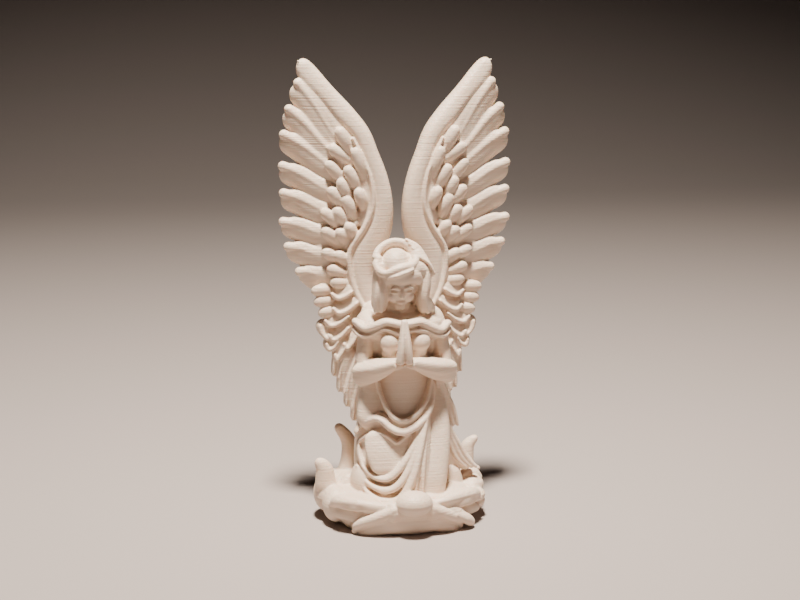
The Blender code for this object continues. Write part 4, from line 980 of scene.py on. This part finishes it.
def area_light(name, place, size, power, spread, colour):
    """A square soft light at this place, turned to the figure, that opens this many degrees."""
    bpy.ops.object.light_add(type="AREA", location=place)
    light = bpy.context.object
    light.name = name
    light.data.size = size
    light.data.energy = power
    light.data.spread = math.radians(spread)
    light.data.color = linear(colour)[:3]
    light.rotation_euler = (Vector(LIT_POINT) - Vector(place)).to_track_quat("-Z", "Y").to_euler()


class AngelSizes(bpy.types.PropertyGroup):
    """Sizes of the clay and of the fused mesh."""

    grain: bpy.props.FloatProperty(
        name="Grain", description="Finest detail, in hundredths of the height", default=0.18, min=0.1
    )
    triangles: bpy.props.IntProperty(
        name="Triangles", description="Most triangles that the figure keeps", default=190000, min=20000
    )
    smoothing: bpy.props.IntProperty(
        name="Smoothing", description="Rounds of smoothing after the parts are fused", default=3, min=0
    )
    stroke_rings: bpy.props.IntProperty(
        name="Rings", description="Rings along each stroke of clay", default=56, min=8
    )
    stroke_segments: bpy.props.IntProperty(
        name="Segments", description="Sides of each stroke of clay", default=28, min=8
    )


class AngelLooks(bpy.types.PropertyGroup):
    """Colours and surface of the printed plastic."""

    plastic_colour: bpy.props.StringProperty(
        name="Plastic", description="sRGB hex colour of the ivory plastic", default="#e0d0c0"
    )
    deep_colour: bpy.props.StringProperty(
        name="Deep plastic", description="sRGB hex colour of its deeper clouds", default="#d8c1ab"
    )
    glow: bpy.props.FloatProperty(
        name="Glow", description="Share of the light that passes through the skin", default=0.2
    )
    glow_reach: bpy.props.FloatProperty(
        name="Glow reach", description="How far light travels inside", default=0.0006, unit="LENGTH"
    )
    layer_pitch: bpy.props.FloatProperty(
        name="Layer pitch",
        description="Height of one drawn layer line, coarser than usual so that it shows",
        default=0.00035,
        unit="LENGTH",
    )
    layer_depth: bpy.props.FloatProperty(
        name="Layer depth", description="How far each line stands out", default=0.0001, unit="LENGTH"
    )
    speck_depth: bpy.props.FloatProperty(
        name="Speck depth", description="How far the specks stand out", default=0.0002, unit="LENGTH"
    )
    line_colour: bpy.props.StringProperty(
        name="Line colour", description="sRGB hex colour of the deeper layer bands", default="#c4a78e"
    )
    band_strength: bpy.props.FloatProperty(
        name="Band strength", description="How strongly the deeper bands are tinted", default=0.2
    )


class AngelStudio(bpy.types.PropertyGroup):
    """Camera, lights and floor."""

    azimuth: bpy.props.FloatProperty(
        name="Azimuth",
        description="Camera's angle round the figure",
        default=math.radians(-9),
        subtype="ANGLE",
    )
    elevation: bpy.props.FloatProperty(
        name="Elevation",
        description="Camera's angle above level",
        default=math.radians(11.5),
        subtype="ANGLE",
    )
    distance: bpy.props.FloatProperty(
        name="Distance", description="From the camera to the aim", default=0.3475, unit="LENGTH"
    )
    aim: bpy.props.FloatVectorProperty(
        name="Aim",
        description="Point at the middle of the picture",
        default=(-0.0002, 0, 0.0483),
        unit="LENGTH",
    )
    lens: bpy.props.FloatProperty(name="Lens", description="Focal length in mm", default=72.0)
    paper_colour: bpy.props.StringProperty(
        name="Paper", description="sRGB hex colour of the floor and backdrop", default="#9c928e"
    )


class ANGEL_OT_robe(bpy.types.Operator):
    """Models the robe with its folds, hems and shawl"""

    bl_idname = "angel.robe"
    bl_label = "Robe"

    def execute(self, context):
        clay = []
        drapery(clay)
        fold_edge(clay)
        joined(clay, "clay_robe")
        return {"FINISHED"}


class ANGEL_OT_bust(bpy.types.Operator):
    """Models the cape, shoulders, arms and joined hands"""

    bl_idname = "angel.bust"
    bl_label = "Bust and arms"

    def execute(self, context):
        clay = []
        bust(clay)
        hem_backing(clay)
        filled_hollows(clay)
        joined(clay, "clay_bust")
        return {"FINISHED"}


class ANGEL_OT_head(bpy.types.Operator):
    """Models the bowed head with its rolled band and hair"""

    bl_idname = "angel.head"
    bl_label = "Head"

    def execute(self, context):
        clay = []
        head(clay)
        hair_strands(clay)
        joined(clay, "clay_head")
        return {"FINISHED"}


class ANGEL_OT_petals(bpy.types.Operator):
    """Models the ring of petals under the figure"""

    bl_idname = "angel.petals"
    bl_label = "Petal base"

    def execute(self, context):
        clay = []
        petals(clay)
        petal_edges(clay)
        joined(clay, "clay_petals")
        return {"FINISHED"}


class ANGEL_OT_wings(bpy.types.Operator):
    """Models the two raised wings with their feathers"""

    bl_idname = "angel.wings"
    bl_label = "Wings"

    def execute(self, context):
        clay = []
        for side in (-1, 1):
            wing(clay, side)
            nozzle_blobs(clay, side)
        joined(clay, "clay_wings")
        return {"FINISHED"}


class ANGEL_OT_figure(bpy.types.Operator):
    """Fuses the modelled groups into one printed body, sets its size and paints it"""

    bl_idname = "angel.figure"
    bl_label = "Fuse the figure"

    def execute(self, context):
        sizes = context.scene.angel_sizes
        clay = [item for item in bpy.data.objects if item.name.startswith("clay_")]
        if not clay:
            raise RuntimeError("model at least one group before fusing the figure")
        figure = joined(clay, "angel_body")
        modified(figure, "REMESH", mode="VOXEL", voxel_size=sizes.grain, adaptivity=0.0)
        modified(figure, "SMOOTH", factor=0.5, iterations=sizes.smoothing)
        figure = largest_part(figure)
        figure.name = "angel_body"
        share = sizes.triangles / (2 * len(figure.data.polygons))
        modified(figure, "DECIMATE", ratio=min(share, 1.0), use_collapse_triangulate=True)
        cut_flat(figure)
        fitted_to_frame(figure)
        active(figure)
        bpy.ops.object.shade_smooth_by_angle(angle=math.radians(50))
        figure.data.materials.clear()
        figure.data.materials.append(printed_ivory_pla())
        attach(figure, "root")
        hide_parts(NODE)
        return {"FINISHED"}


class ANGEL_OT_stage(bpy.types.Operator):
    """Sets up the floor, the soft lights and the camera"""

    bl_idname = "angel.stage"
    bl_label = "Studio"

    def execute(self, context):
        studio = context.scene.angel_studio
        paper_sweep()
        world = bpy.data.worlds.new("studio_air")
        world.use_nodes = True
        air = world.node_tree.nodes["Background"]
        air.inputs["Color"].default_value = linear(AIR_COLOUR)
        air.inputs["Strength"].default_value = AIR_STRENGTH
        context.scene.world = world
        for light in LIGHTS:
            area_light(*light)
        level = math.cos(studio.elevation)
        x, y = math.sin(studio.azimuth) * level, -math.cos(studio.azimuth) * level
        out = Vector((x, y, math.sin(studio.elevation)))
        bpy.ops.object.camera_add(location=Vector(studio.aim) + out * studio.distance)
        camera = context.object
        camera.rotation_euler = out.to_track_quat("Z", "Y").to_euler()
        camera.data.lens = studio.lens
        camera.data.sensor_width = SENSOR_WIDTH
        camera.data.clip_start = 0.01
        context.scene.camera = camera
        return {"FINISHED"}


OPERATORS = (
    ANGEL_OT_robe,
    ANGEL_OT_bust,
    ANGEL_OT_head,
    ANGEL_OT_petals,
    ANGEL_OT_wings,
    ANGEL_OT_figure,
    ANGEL_OT_stage,
)


class ANGEL_PT_tools(bpy.types.Panel):
    """Lists the figure's settings and the steps that make it"""

    bl_label = "Angel figure"
    bl_space_type = "VIEW_3D"
    bl_region_type = "UI"
    bl_category = "Angel"

    def draw(self, context):
        layout = self.layout
        for group in (context.scene.angel_sizes, context.scene.angel_looks, context.scene.angel_studio):
            column = layout.column(align=True)
            for name in group.bl_rna.properties.keys():
                if name not in ("rna_type", "name"):
                    column.prop(group, name)
        for step in OPERATORS:
            layout.operator(step.bl_idname)


CLASSES = (AngelSizes, AngelLooks, AngelStudio, *OPERATORS, ANGEL_PT_tools)


def register():
    for item in CLASSES:
        bpy.utils.register_class(item)
    bpy.types.Scene.angel_sizes = bpy.props.PointerProperty(type=AngelSizes)
    bpy.types.Scene.angel_looks = bpy.props.PointerProperty(type=AngelLooks)
    bpy.types.Scene.angel_studio = bpy.props.PointerProperty(type=AngelStudio)


def unregister():
    del bpy.types.Scene.angel_studio
    del bpy.types.Scene.angel_looks
    del bpy.types.Scene.angel_sizes
    for item in reversed(CLASSES):
        bpy.utils.unregister_class(item)


def main():
    """Registers the add-on and makes the figure and its studio."""
    register()
    deselected()
    for step in OPERATORS:
        group, name = step.bl_idname.split(".")
        getattr(getattr(bpy.ops, group), name)()


if __name__ == "__main__":
    main()
